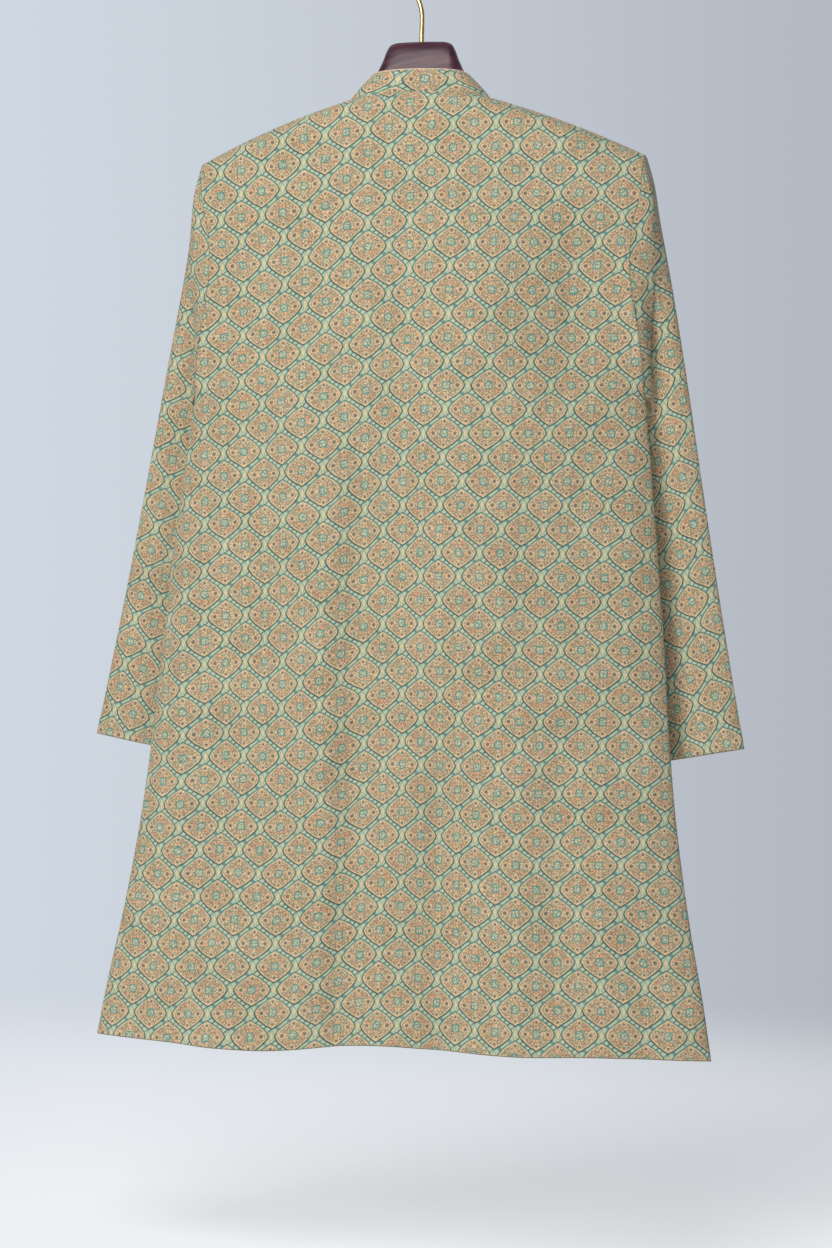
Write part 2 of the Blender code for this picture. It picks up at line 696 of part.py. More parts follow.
def sleeve_lift(share, across):
    """How far the creases lift the sleeve's outer side."""
    total = 0.0
    for fold in SLEEVE_FOLDS:
        along = (share - fold.share_upper) / (fold.share_lower - fold.share_upper)
        if not 0.0 < along < 1.0:
            continue
        centre = mix(fold.across_upper, fold.across_lower, along)
        rise = math.exp(-((across - centre) / fold.half_width) ** 2)
        total += fold.height * rise * fold_strength(along)
    return total


def sleeve_edge(rows, share):
    """A point of the sleeve's outer or inner edge, on the +X side."""
    return np.array([read_table(rows, "out", share), read_table(rows, "y", share),
                     -read_table(rows, "down", share)])


def inner_edge_rows():
    """The inner edge's rows, ended square across the cuff from the outer edge."""
    outer_end, before = SLEEVE_OUTER[-1], SLEEVE_OUTER[-2]
    tilt = math.atan2(outer_end.out - before.out, outer_end.down - before.down)
    cuff = SleeveStation(1.0, outer_end.out - CUFF_FLAT * math.cos(tilt),
                         outer_end.down + CUFF_FLAT * math.sin(tilt), CUFF_INNER_Y)
    return SLEEVE_INNER + (cuff,)


def over_front(x_sign, point):
    """The least y that keeps a sleeve's hidden wall clear of the front panel."""
    down = -point[2]
    half = read_table(BODY, "half_width", down)
    out = abs(point[0])
    if out > half + SLEEVE_REACH:
        return -1.0
    return body_y(FRONT, x_sign, min(out / half, 1.0), down) + SLEEVE_CLEARANCE


def sleeve_ring(x_sign, share, loop):
    """One ring of a sleeve, with as many points as the armhole has."""
    count = len(loop)
    half_count = count // 2
    outer = sleeve_edge(SLEEVE_OUTER, share)
    inner = sleeve_edge(inner_edge_rows(), share)
    leave = 1.0 - ease(0.0, ARMHOLE_FADE, share)
    at_armhole = 1.0 - ease(0.0, ARMHOLE_DEPTH_FADE, share)
    depth = read_table(SLEEVE_DEPTH, "half_depth", share)
    ring = np.zeros((count, 3))
    for index in range(half_count + 1):
        back, front = loop[index], loop[-index % count]
        across = (loop[0][2] - back[2]) / (loop[0][2] - loop[half_count][2])
        on_loop = np.array((abs(back[0]), (back[1] + front[1]) / 2))
        straight = mix(np.abs(loop[0][:2]), np.abs(loop[half_count][:2]), across)
        middle = mix(outer, inner, across)
        middle[:2] += (on_loop - straight) * leave
        rounded = 2.0 * depth * math.sqrt(max(across * (1.0 - across), 0.0))
        half = mix(rounded, (front[1] - back[1]) / 2, at_armhole)
        lift = sleeve_lift(share, across)
        hidden = middle - (0.0, half + lift, 0.0)
        hidden[0] *= x_sign
        if share > SLEEVE_FREE_SHARE:
            hidden[1] = max(hidden[1], over_front(x_sign, hidden))
        shown = middle + (0.0, half + lift, 0.0)
        shown[0] *= x_sign
        if 0 < index < half_count:
            shown[1] = max(shown[1], hidden[1] + 2 * CLOTH + SLEEVE_HOLLOW)
        else:
            shown = hidden
        ring[index] = hidden
        ring[-index % count] = shown
    return ring


def build_sleeve(name, x_sign, loop, loop_inner, material):
    """A sleeve from its armhole to its cuff, lying forward of the body's side."""
    gap = np.array((x_sign * SEAM_GAP, 0.0, 0.0))
    rings = [loop + gap] + [sleeve_ring(x_sign, share, loop) for share in SLEEVE_SHARES[1:]]
    outer = np.array(rings)
    normals = grid_normals(outer, 1.0, closed=True)
    centre = outer.mean(axis=1, keepdims=True)
    if ((outer - centre) * normals).sum() < 0:
        normals = -normals
    edge = unit(outer[-1, 0] - outer[-1, len(loop) // 2])
    tube_axis = unit(np.array((-edge[2] * x_sign, 0.0, edge[0] * x_sign)))
    last = normals[-1] - (normals[-1] @ tube_axis)[:, None] * tube_axis
    normals[-1] = last / np.linalg.norm(last, axis=1, keepdims=True)
    inner = outer - normals * CLOTH
    inner[0] = loop_inner + gap
    add_object(name, *wall_mesh(outer, inner, closed=True), material)


def hook_route():
    """Middle line of the wire: stem, swan neck, loop and a small flick at its end."""
    loop_down = HOOK_RADIUS - WIRE_RADIUS
    reach = HOOK_RADIUS + HOOK_SWAN_RADIUS
    rise = math.sqrt(reach ** 2 - HOOK_SWAN_RADIUS ** 2)
    swan_down = loop_down + rise
    lean = math.asin(rise / reach)
    stem_end = WOOD_TOP_DOWN + WIRE_IN_WOOD - HOLE_GAP
    points = [(0.0, -stem_end), (0.0, -WOOD_TOP_DOWN), (0.0, -swan_down)]
    for step in range(1, HOOK_SWAN_STEPS + 1):
        angle = lean * step / HOOK_SWAN_STEPS
        x = -HOOK_SWAN_RADIUS * (1.0 - math.cos(angle))
        points.append((x, -swan_down + HOOK_SWAN_RADIUS * math.sin(angle)))
    for step in range(1, HOOK_LOOP_STEPS + 1):
        angle = mix(math.pi + lean, HOOK_END_ANGLE, step / HOOK_LOOP_STEPS)
        points.append((HOOK_RADIUS * math.cos(angle), -loop_down + HOOK_RADIUS * math.sin(angle)))
    reach = HOOK_RADIUS + HOOK_FLICK_RADIUS
    centre_x = reach * math.cos(HOOK_END_ANGLE)
    centre_z = -loop_down + reach * math.sin(HOOK_END_ANGLE)
    for step in range(1, HOOK_FLICK_STEPS + 1):
        angle = HOOK_END_ANGLE + math.pi + HOOK_FLICK_ANGLE * step / HOOK_FLICK_STEPS
        points.append((centre_x + HOOK_FLICK_RADIUS * math.cos(angle),
                       centre_z + HOOK_FLICK_RADIUS * math.sin(angle)))
    return np.array([(x, 0.0, z) for x, z in points])


def build_hook(material):
    """Round wire along the hook's route, with a rounded free end."""
    route = hook_route()
    rings = []
    for place, way in zip(route, np.gradient(route, axis=0)):
        way = unit(way)
        side = np.array((way[2], 0.0, -way[0]))
        rings.append((place, side, WIRE_RADIUS))
    for turn in HOOK_END_TURNS:
        beyond = way * WIRE_RADIUS * math.sin(turn)
        rings.append((place + beyond, side, WIRE_RADIUS * math.cos(turn)))
    points = []
    for place, side, radius in rings:
        for corner in range(WIRE_SIDES):
            angle = 2 * math.pi * corner / WIRE_SIDES
            offset = side * math.cos(angle) + np.array((0.0, math.sin(angle), 0.0))
            points.append(place + offset * radius)
    faces = tube_faces(len(rings), WIRE_SIDES)
    add_object("hanger_hook", points, faces, material)


def wood_section(out, shrink=1.0):
    """One rounded section across the hanger, as points in the YZ plane."""
    if out <= WOOD_NECK[-1].out:
        top = read_table(WOOD_NECK, "top_down", out)
    else:
        top = shoulder_down(out) + WOOD_BELOW_CLOTH
    bottom = read_table(WOOD, "bottom_down", out)
    half_depth = read_table(WOOD, "half_depth", out) * shrink
    power = 2.0 / read_table(WOOD, "squareness", out)
    middle, half_height = (top + bottom) / 2, (bottom - top) / 2 * shrink
    points = []
    for side in range(WOOD_SIDES):
        angle = 2 * math.pi * (side + 0.5) / WOOD_SIDES
        y = math.copysign(abs(math.sin(angle)) ** power, math.sin(angle)) * half_depth
        z = math.copysign(abs(math.cos(angle)) ** power, math.cos(angle)) * half_height
        points.append((shoulder_y(out) + y, -middle + z))
    return points


def build_wood(material):
    """The wooden body: one form from tip to tip, with a hole for the hook's stem."""
    outs = [row.out for row in WOOD_NECK] + list(WOOD_ARM_OUTS)
    sections = [(out, wood_section(out)) for out in outs]
    for tip in WOOD_TIP:
        section = wood_section(min(WOOD_REACH + tip.beyond, WOOD_REACH), tip.size)
        sections.append((WOOD_REACH + tip.beyond, section))
    both = [(-out, section) for out, section in reversed(sections[1:])] + sections
    points = [(x, y, z) for x, section in both for y, z in section]
    wood = add_object("hanger_wood", points, tube_faces(len(both), WOOD_SIDES), material)

    radius = (WIRE_RADIUS + HOLE_GAP) / math.cos(math.pi / WOOD_SIDES)
    bpy.ops.mesh.primitive_cylinder_add(vertices=WOOD_SIDES, radius=radius, depth=2 * WIRE_IN_WOOD,
                                        location=(0.0, 0.0, -WOOD_TOP_DOWN))
    cutter = bpy.context.object
    cutter.name = "stem_hole_cutter"
    cutter.hide_render = True
    cutter.display_type = "WIRE"
    hole = wood.modifiers.new("stem_hole", "BOOLEAN")
    hole.operation = "DIFFERENCE"
    hole.solver = "EXACT"
    hole.object = cutter


def main():
    """Clear the scene, then build the hanger and every sewn piece."""
    for leftover in list(bpy.data.objects):
        bpy.data.objects.remove(leftover)
    cloth = make_material("printed_cotton", (0.60, 0.47, 0.27), 0.85)
    button = make_material("button_shell", (0.62, 0.50, 0.32), 0.35)
    wood = make_material("dark_wood", (0.085, 0.028, 0.018), 0.30)
    brass = make_material("brass_wire", (0.62, 0.44, 0.20), 0.28, metallic=1.0)
    build_hook(brass)
    build_wood(wood)
    grids, walls, loops = build_panels(cloth)
    build_collar(grids, walls, cloth)
    build_placket(grids[FRONT], {"cloth": cloth, "button": button})
    build_sleeve("sleeve_left", -1, *loops[0], cloth)
    build_sleeve("sleeve_right", 1, *loops[1], cloth)


main()
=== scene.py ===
"""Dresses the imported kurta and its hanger: cloth shells, print, sewing, wood and wire.

All sizes are in metres. +Z is up, -Y is the garment's back, +Y its front, and "down" is
the distance below the inner top of the hook. The cloth follows the form of the part's
own source, on a finer grid, with deeper folds and finer creases.
"""

import math
from collections import namedtuple
from contextlib import contextmanager
from functools import lru_cache, partialmethod

import bmesh
import bpy
import numpy as np
from mathutils import Matrix, Vector


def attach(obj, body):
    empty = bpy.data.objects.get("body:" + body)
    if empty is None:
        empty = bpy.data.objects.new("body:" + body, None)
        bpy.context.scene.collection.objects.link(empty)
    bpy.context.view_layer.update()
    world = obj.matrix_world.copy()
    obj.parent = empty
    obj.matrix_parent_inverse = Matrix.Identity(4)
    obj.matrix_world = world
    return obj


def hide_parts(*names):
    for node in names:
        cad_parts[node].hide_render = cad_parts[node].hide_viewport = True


bl_info = {
    "name": "Kurta on a wooden hanger",
    "version": (1, 0, 0),
    "blender": (4, 5, 0),
    "location": "View3D > Sidebar > Kurta",
    "description": "Builds a printed cotton kurta with its sewing, buttons and hanger",
    "category": "Object",
}

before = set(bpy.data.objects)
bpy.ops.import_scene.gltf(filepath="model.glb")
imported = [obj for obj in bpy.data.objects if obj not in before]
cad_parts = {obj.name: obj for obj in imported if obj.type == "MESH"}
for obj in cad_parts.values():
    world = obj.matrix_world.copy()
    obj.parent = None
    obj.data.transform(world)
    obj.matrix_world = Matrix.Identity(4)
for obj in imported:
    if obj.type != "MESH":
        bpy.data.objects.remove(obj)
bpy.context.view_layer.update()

BACK = -1
FRONT = 1
BODY_NAME = "root"

# Form of the garment, as in the part's source
SEAM_GAP = 0.0003
SHOULDER_HALF = 0.230
NECK_HALF = 0.073
NECK_DOWN = 0.152
SHOULDER_DROP = 0.057
UNDERARM_DOWN = 0.455
SLIT_DOWN = 0.862
HEM_DOWN = 1.1145
SLIT_OPENING = 0.0030
SHOULDER_STRAIGHT = 0.77
SHOULDER_FORWARD = 0.022
ROLL_RADIUS = 0.020
ROLL_LENGTH = ROLL_RADIUS * math.pi / 2
TIP_HALF_DEPTH = 0.0245
NECK_RISE = 0.012
BACK_NECK_RUN = 0.021
FRONT_NECK_RUN = 0.093
NECK_SQUARENESS = 2.3
LEAST_TOP_RUN = 0.012
FOLD_GROWN = 0.33
FOLD_FADING = 0.88
FOLD_EDGE_POWER = 6
OPENING_POWER_UPPER = 2.0
OPENING_POWER_LOWER = 12.0
OPENING_NARROWS_DOWN = 0.26
COLLAR_TOP_DOWN = 0.126
COLLAR_TOP_SHARE = 0.671
COLLAR_TOP_DEPTH_SHARE = 0.90
COLLAR_FRONT_RISE = 0.029
COLLAR_FRONT_GAP = 0.0035
COLLAR_FRONT_RUN = 0.05
COLLAR_SWELL = 0.0012
COLLAR_FLAT_HALF = 0.02
PLACKET_HALF = 0.016
NOTCH_HALF = 0.011
NOTCH_END_DOWN = 0.5002
PLACKET_END_DOWN = 0.5454
PLACKET_CLOTH = 0.0013
PLACKET_COLUMNS = 12
PLACKET_BEYOND = 0.002
PLACKET_SHARES = (-1.0, -0.93, -0.6, -0.3, 0.0, 0.3, 0.6, 0.93, 1.0)
BUTTON_RADIUS = 0.006
BUTTON_COUNT = 4
BUTTON_FIRST = 0.028
BUTTON_STEP = 0.070
CUFF_FLAT = 0.140
SLEEVE_CLEARANCE = 0.0020
SLEEVE_VALLEY_Y = 0.040
SLEEVE_VALLEY_START = -0.004
SLEEVE_VALLEY_WIDTH = 0.034
SLEEVE_VALLEY_GROWS = 0.16
SLEEVE_HOLLOW = 0.0070
CUFF_INNER_Y = 0.0475
ARMHOLE_FADE = 0.12
ARMHOLE_DEPTH_FADE = 0.22
SLEEVE_FREE_SHARE = 0.03

# Hanger's sizes
WIRE_RADIUS = 0.0024
HOOK_RADIUS = 0.021
HOOK_SWAN_RADIUS = 0.049
HOOK_END_ANGLE = math.radians(-28.0)
HOOK_FLICK_RADIUS = 0.009
HOOK_FLICK_ANGLE = math.radians(55.0)
WOOD_TOP_DOWN = 0.0926
WIRE_IN_WOOD = 0.018
HOLE_GAP = 0.0003
WOOD_REACH = 0.216
WOOD_BELOW_CLOTH = 0.0024

# Grid of the finer shells
ROLL_ROWS = 9
ARMHOLE_ROWS = 36
COLUMN_CHANGE_ROWS = ARMHOLE_ROWS * 1.286
BODY_ROWS = 66
SKIRT_ROWS = 44
HEM_ROWS = 4
HEM_STEP = 0.0012
HEM_LAST_STEP = 0.0009
NECK_COLUMNS = 18
NECK_CROWDING = 1.6
SHOULDER_COLUMNS = 44
EDGE_INSETS = (0.0160, 0.0090, 0.0035, 0.0)
SLEEVE_RINGS = 104
SLEEVE_CROWDING = 1.25
CUFF_STEPS = (1.0, 0.75, 0.5, 0.25, 0.04, 0.0)
CUFF_REACH = 1.1
CUFF_CLEAR_SHARE = 0.004
CUFF_EXTRA_SHARE = 0.002
COLLAR_ROWS = 12
WIRE_SIDES = 24
WIRE_END_TURNS = (20.0, 40.0, 60.0, 78.0)
STEM_POINTS, SWAN_POINTS, LOOP_POINTS, FLICK_POINTS = 10, 15, 72, 12
BORE_SIDES = 32
WOOD_SIDES = 48
BUTTON_SIDES = 48
HOLE_SIDES = 12

# Finish of edges and sewing
EDGE_ROUNDING = 0.0003
TURN_SOFTNESS = 0.0006
EDGE_SOFTNESS = 0.0015
SEAM_WIDTH = 0.0022
SLIT_TURN_STARTS = (SLIT_DOWN - 0.004, SLIT_DOWN + 0.006)
SLIT_STITCHES_DOWN = SLIT_DOWN - 0.006
SHARP_ANGLE = math.radians(50.0)
BUTTON_SHARP_ANGLE = math.radians(40.0)
SLEEVE_LENGTH = 0.62
COLLAR_LAYERS = 1.4
COLLAR_TURN_SHARE = 0.955
PLACKET_END_ROUNDING = 0.0002
PLACKET_NEAR_SHARE = 0.25
HEM_STITCH_INSET = 0.0022
SLIT_STITCH_INSET = 0.0025
PLACKET_STITCH_INSET = 0.0022
PLACKET_END_STITCHES = (0.003, 0.021, 0.024)
BUTTONHOLE_HALF = (0.0007, 0.0082)
BUTTON_THREAD_SHARE = 0.70
BUTTON_THREAD_SIZE = 0.8
BUTTON_THREAD_SLIP = 0.00028
BUTTON_THREAD_DEPTH = 0.00172
OUTWARD = (0.0, 1.0, 0.0)


def make_rows(kind, *values):
    """A table whose rows are all of one kind."""
    return tuple(kind(*row) for row in values)


BodySection = namedtuple("BodySection", "down half_width side_y back_y front_y roundness")
BODY = make_rows(
    BodySection,
    (0.130, 0.2300, 0.0220, -0.033, 0.040, 2.00), (0.209, 0.2300, 0.0220, -0.034, 0.041, 2.00),
    (0.249, 0.2276, 0.0220, -0.035, 0.041, 2.00), (0.290, 0.2190, 0.0215, -0.036, 0.040, 2.00),
    (0.335, 0.2185, 0.0205, -0.037, 0.040, 2.00), (0.400, 0.2285, 0.0190, -0.038, 0.039, 1.85),
    (0.455, 0.2345, 0.0175, -0.039, 0.039, 1.55), (0.565, 0.2464, 0.0140, -0.040, 0.038, 1.25),
    (0.687, 0.2578, 0.0110, -0.041, 0.037, 1.20), (0.819, 0.2686, 0.0080, -0.042, 0.037, 1.20),
    (0.862, 0.2730, 0.0070, -0.043, 0.036, 1.20), (0.982, 0.2906, 0.0050, -0.044, 0.036, 1.25),
    (1.063, 0.3060, 0.0035, -0.045, 0.036, 1.30), (1.1145, 0.3145, 0.0020, -0.045, 0.036, 1.30),
)

# A fold runs from its upper to its lower end; a height below nothing is a trough. The back's
# folds are deeper here than on the part's solids.
Fold = namedtuple("Fold", "x_upper down_upper x_lower down_lower half_width height")
BACK_FOLDS = make_rows(
    Fold,
    (-0.006, 0.200, 0.002, 0.680, 0.024, -0.0045), (-0.036, 0.380, -0.044, 1.180, 0.026, -0.0115),
    (-0.008, 0.500, -0.006, 1.160, 0.040, -0.0040), (0.048, 0.760, 0.052, 1.200, 0.032, -0.0120),
    (0.130, 0.640, 0.150, 1.160, 0.034, 0.0020), (0.160, 0.750, 0.172, 1.050, 0.020, -0.0040),
    (0.200, 0.900, 0.212, 1.160, 0.026, 0.0030), (-0.188, 0.240, -0.180, 0.470, 0.026, 0.0040),
    (-0.140, 0.470, -0.134, 0.780, 0.026, -0.0025), (-0.196, 0.720, -0.214, 1.000, 0.022, -0.0060),
    (-0.170, 0.940, -0.190, 1.180, 0.034, 0.0070), (0.074, 0.200, 0.080, 0.760, 0.058, 0.0100),
)
FRONT_FOLDS = make_rows(
    Fold,
    (-0.092, 0.280, -0.104, 0.720, 0.026, -0.0050), (0.088, 0.330, 0.082, 0.800, 0.024, -0.0045),
    (-0.052, 0.700, -0.074, 1.160, 0.030, 0.0070), (0.050, 0.640, 0.066, 1.160, 0.028, -0.0060),
    (0.140, 0.600, 0.166, 1.160, 0.034, 0.0070), (-0.158, 0.640, -0.186, 1.160, 0.032, -0.0060),
    (0.004, 0.780, -0.006, 1.160, 0.024, 0.0050), (0.224, 0.900, 0.246, 1.150, 0.024, -0.0040),
)

# Finer creases, which only the shells have
BACK_CREASES = make_rows(
    Fold,
    (-0.120, 0.215, -0.098, 0.330, 0.016, -0.0016), (0.060, 0.230, 0.052, 0.420, 0.018, -0.0014),
    (0.176, 0.262, 0.150, 0.430, 0.020, -0.0018), (-0.196, 0.400, -0.150, 0.560, 0.016, -0.0018),
    (0.205, 0.440, 0.170, 0.610, 0.017, -0.0018), (0.026, 0.470, 0.040, 0.760, 0.016, 0.0014),
    (-0.038, 0.560, -0.046, 0.820, 0.014, 0.0013), (0.078, 0.520, 0.074, 0.700, 0.015, -0.0013),
    (0.206, 0.640, 0.222, 0.860, 0.014, -0.0016), (-0.232, 0.620, -0.246, 0.840, 0.013, 0.0014),
    (-0.108, 0.840, -0.118, 1.080, 0.013, -0.0016), (-0.234, 0.900, -0.262, 1.115, 0.017, -0.0022),
    (0.006, 0.930, 0.004, 1.115, 0.012, -0.0016), (0.084, 0.880, 0.090, 1.115, 0.014, -0.0016),
    (0.246, 0.930, 0.266, 1.115, 0.014, -0.0020), (-0.010, 0.200, 0.000, 0.660, 0.014, -0.0022),
    (-0.046, 0.380, -0.056, 1.180, 0.014, -0.0030), (0.040, 0.760, 0.044, 1.180, 0.016, -0.0024),
    (0.112, 0.600, 0.134, 1.180, 0.018, 0.0014), (-0.140, 0.440, -0.132, 0.800, 0.015, -0.0014),
)
FRONT_CREASES = make_rows(
    Fold,
    (-0.150, 0.220, -0.120, 0.360, 0.018, -0.0016), (0.142, 0.225, 0.112, 0.350, 0.017, -0.0015),
    (-0.204, 0.430, -0.160, 0.600, 0.017, -0.0018), (0.200, 0.420, 0.158, 0.585, 0.016, -0.0018),
    (-0.040, 0.560, -0.034, 0.780, 0.015, 0.0013), (0.118, 0.660, 0.112, 0.900, 0.014, -0.0014),
    (-0.116, 0.820, -0.128, 1.080, 0.015, 0.0016), (-0.226, 0.860, -0.250, 1.115, 0.016, -0.0020),
    (0.026, 0.880, 0.030, 1.115, 0.013, -0.0015), (0.198, 0.820, 0.208, 1.080, 0.015, -0.0018),
)
FOLDS = {BACK: BACK_FOLDS + BACK_CREASES, FRONT: FRONT_FOLDS + FRONT_CREASES}

# How the printed grain hangs on the back: its shift sideways and upward from an even spread, in
# millimetres, at these distances across; folds take up cloth, so the shifts change fast there
# The shifts were fitted by another program to where medallions lie in the photograph
GRAIN_ACROSS = (-0.240, -0.180, -0.120, -0.075, -0.035, -0.005, 0.025, 0.060, 0.120, 0.200)
GrainRow = namedtuple("GrainRow", "down sideways upward")
GRAIN = (
    GrainRow(0.16, (-11.0, -7.4, -4.1, -2.4, -1.6, -1.3, -1.3, -1.6, -2.5, -3.8),
             (-25.2, -22.2, -18.2, -14.7, -11.8, -9.9, -8.4, -7.0, -5.2, -3.1)),
    GrainRow(0.28, (-9.4, -4.9, -1.0, 1.8, 2.1, 1.3, 1.4, 1.2, -2.9, -4.2),
             (-24.4, -22.0, -18.3, -13.0, -8.9, -7.2, -6.5, -6.1, -4.9, -1.2)),
    GrainRow(0.42, (-6.8, -1.5, 1.4, 3.8, 4.3, 2.3, 1.7, 2.2, -1.2, -5.1),
             (-22.4, -20.9, -17.5, -12.9, -8.0, -5.5, -4.7, -5.0, -3.9, 1.0)),
    GrainRow(0.56, (0.4, 6.3, 5.3, 6.2, 4.1, 1.2, 0.3, -0.1, -3.3, -7.5),
             (-22.2, -19.0, -16.2, -10.6, -4.0, -1.6, -1.5, -2.2, -1.3, 1.1)),
    GrainRow(0.72, (5.7, 12.8, 8.1, 4.5, 5.8, 5.5, 2.7, -1.8, -7.4, -12.2),
             (-19.9, -14.9, -12.2, -7.0, 1.2, 4.1, 3.7, 4.0, 2.8, 4.6)),
    GrainRow(0.90, (9.8, 15.0, 13.4, 10.7, 10.6, 10.7, 6.5, -0.2, -3.9, -10.5),
             (-13.3, -8.2, -8.0, -1.6, 8.8, 12.2, 12.4, 11.7, 9.2, 11.6)),
    GrainRow(1.10, (6.7, 9.4, 10.8, 11.3, 11.1, 10.1, 7.3, 2.8, -1.4, -5.0),
             (-4.6, 0.1, 4.0, 10.3, 17.3, 20.3, 20.7, 19.7, 18.3, 18.8)),
)
FRONT_GRAIN_SHARE = 0.3
# For each sleeve: lean of its grain and rise of its rows in degrees, how widely the columns are
# spread, and where a medallion sits
SleeveCut = namedtuple("SleeveCut", "lean row_rise spread x up")
SLEEVE_CUTS = {
    1: SleeveCut(15.0, 5.0, 0.93, 0.0019, -0.0091),
    -1: SleeveCut(12.0, -1.0, 0.97, 0.0, 0.0),
}
# Where a medallion sits on the panels, and on the collar from its middle and its top edge
MEDALLION_X = 0.0416
MEDALLION_DOWN = 0.447
COLLAR_MEDALLION_X = -0.0078
COLLAR_MEDALLION_DOWN = 0.0605
PLACKET_PRINT_SHIFTS = {"under": 0.006, "top": -0.004}

# Slow unevenness of the hanging cloth, as crossing waves
RIPPLES_GROW_DOWN = (NECK_DOWN + 0.03, NECK_DOWN + 0.16)
Ripple = namedtuple("Ripple", "x_length down_length phase height")
RIPPLES = make_rows(
    Ripple,
    (0.083, 0.61, 0.4, 0.00045), (0.061, -0.47, 2.1, 0.00035), (0.137, 0.29, 4.0, 0.00050),
    (0.210, -0.23, 1.3, 0.00055), (0.046, 0.83, 5.2, 0.00022),
)

# The back's hem hangs lower between its troughs: x, and the drop below the hem's level
HemPoint = namedtuple("HemPoint", "x drop")
BACK_HEM = make_rows(
    HemPoint,
    (-0.315, 0.0000), (-0.235, 0.0025), (-0.130, 0.0055), (-0.050, -0.0025), (-0.008, -0.0050),
    (0.045, -0.0030), (0.120, -0.0005), (0.210, -0.0025), (0.315, -0.0010),
)

# Sleeve edges in the plane of the body: "out" is the distance from the middle
SleeveStation = namedtuple("SleeveStation", "share out down y")
SLEEVE_OUTER = make_rows(
    SleeveStation,
    (0.00, 0.2303, 0.2090, 0.0220), (0.05, 0.2385, 0.2370, 0.0250), (0.10, 0.2436, 0.2670, 0.0300),
    (0.20, 0.2555, 0.3280, 0.0370), (0.35, 0.2715, 0.4180, 0.0410), (0.60, 0.2960, 0.5670, 0.0430),
    (0.80, 0.3165, 0.6864, 0.0440), (1.00, 0.3385, 0.8065, 0.0440),
)
SLEEVE_INNER = make_rows(
    SleeveStation,
    (0.00, 0.2348, 0.4550, 0.0175), (0.05, 0.2408, 0.4620, 0.0300), (0.08, 0.2400, 0.4700, 0.0400),
    (0.11, 0.2350, 0.4780, 0.0470), (0.15, 0.2235, 0.4900, 0.0515), (0.25, 0.1960, 0.5250, 0.0530),
    (0.35, 0.1765, 0.5650, 0.0530), (0.60, 0.1665, 0.6650, 0.0515), (0.80, 0.1800, 0.7500, 0.0500),
)
SleeveDepth = namedtuple("SleeveDepth", "share half_depth")
SLEEVE_DEPTH = make_rows(
    SleeveDepth,
    (0.00, 0.0200), (0.25, 0.0170), (0.60, 0.0150), (1.00, 0.0125),
)
# Folds along a sleeve, across it from 0 at its outer edge to 1 at its inner edge, and down it from
# 0 at the armhole to 1 at the cuff
SLEEVE_FOLDS = make_rows(
    Fold,
    (0.30, 0.16, 0.22, 0.62, 0.09, -0.0030), (0.46, 0.40, 0.40, 1.05, 0.10, 0.0030),
    (0.70, 0.22, 0.66, 0.95, 0.10, -0.0035),
)

# Upper outline of the wood from its middle to where the arms meet the shoulders
NeckOutline = namedtuple("NeckOutline", "out top_down")
WOOD_NECK = make_rows(
    NeckOutline,
    (0.0000, 0.0926), (0.0180, 0.0929), (0.0280, 0.0940), (0.0325, 0.0966), (0.0350, 0.1010),
    (0.0385, 0.1100), (0.0455, 0.1260), (0.0485, 0.1350), (0.0540, 0.1450), (0.0640, 0.1530),
    (0.0760, 0.1575),
)
WoodSection = namedtuple("WoodSection", "out bottom_down half_depth squareness")
WOOD = make_rows(
    WoodSection,
    (0.000, 0.190, 0.0140, 3.0), (0.030, 0.191, 0.0132, 3.0), (0.046, 0.192, 0.0122, 2.8),
    (0.076, 0.197, 0.0150, 2.5), (0.134, 0.213, 0.0192, 2.3), (0.216, 0.243, 0.0195, 2.3),
)
# Where the wood's sections stand: first, last and how many
WOOD_SPANS = ((0.0, 0.026, 9), (0.0275, 0.050, 24), (0.052, 0.076, 14),
              (0.080, WOOD_REACH - 0.0046, 40))
TipRing = namedtuple("TipRing", "beyond size")
WOOD_TIP = make_rows(
    TipRing,
    (-0.0034, 0.960), (-0.0018, 0.905), (-0.0006, 0.830), (0.0004, 0.720), (0.0010, 0.560),
    (0.0012, 0.340),
)

ButtonRing = namedtuple("ButtonRing", "radius_share depth")
BUTTON_PROFILE = make_rows(
    ButtonRing,
    (0.90, 0.00000), (0.97, 0.00012), (1.00, 0.00045), (1.00, 0.00150), (0.97, 0.00195),
    (0.91, 0.00222), (0.84, 0.00222), (0.77, 0.00198), (0.70, 0.00172), (0.60, 0.00162),
)
HOLE_RADIUS = 0.00078
HOLE_OUT = 0.0016

# A stitch as rings of thread along its length
STITCH_SIDES = 6
StitchRing = namedtuple("StitchRing", "along size rise")
STITCH_RINGS = make_rows(
    StitchRing,
    (0.0, 0.25, -0.9), (0.10, 0.80, 0.0), (0.5, 1.0, 0.35), (0.90, 0.80, 0.0), (1.0, 0.25, -0.9),
)

# Scales of the noises, in repeats to the metre; pairs are along and across the fibre
WOBBLE_SCALE = 170.0
WEAR_SCALE = 300.0
CELL_SCALE = 300.0
CELL_SHAKE = 0.004
STROKE_SCALE = 520.0
CREAM_SCALE = 130.0
BAR_SCALE = 75.0
SLUB_SCALES = (60.0, 1500.0)
GRAIN_SCALES = (7.0, 160.0)
PORE_SCALES = (70.0, 1900.0)
CLOUD_SCALE = 22.0
BEND_SCALE = 9.0
DULL_SCALE = 90.0
WIRE_SCALE = 350.0
SHELL_SCALE = 160.0

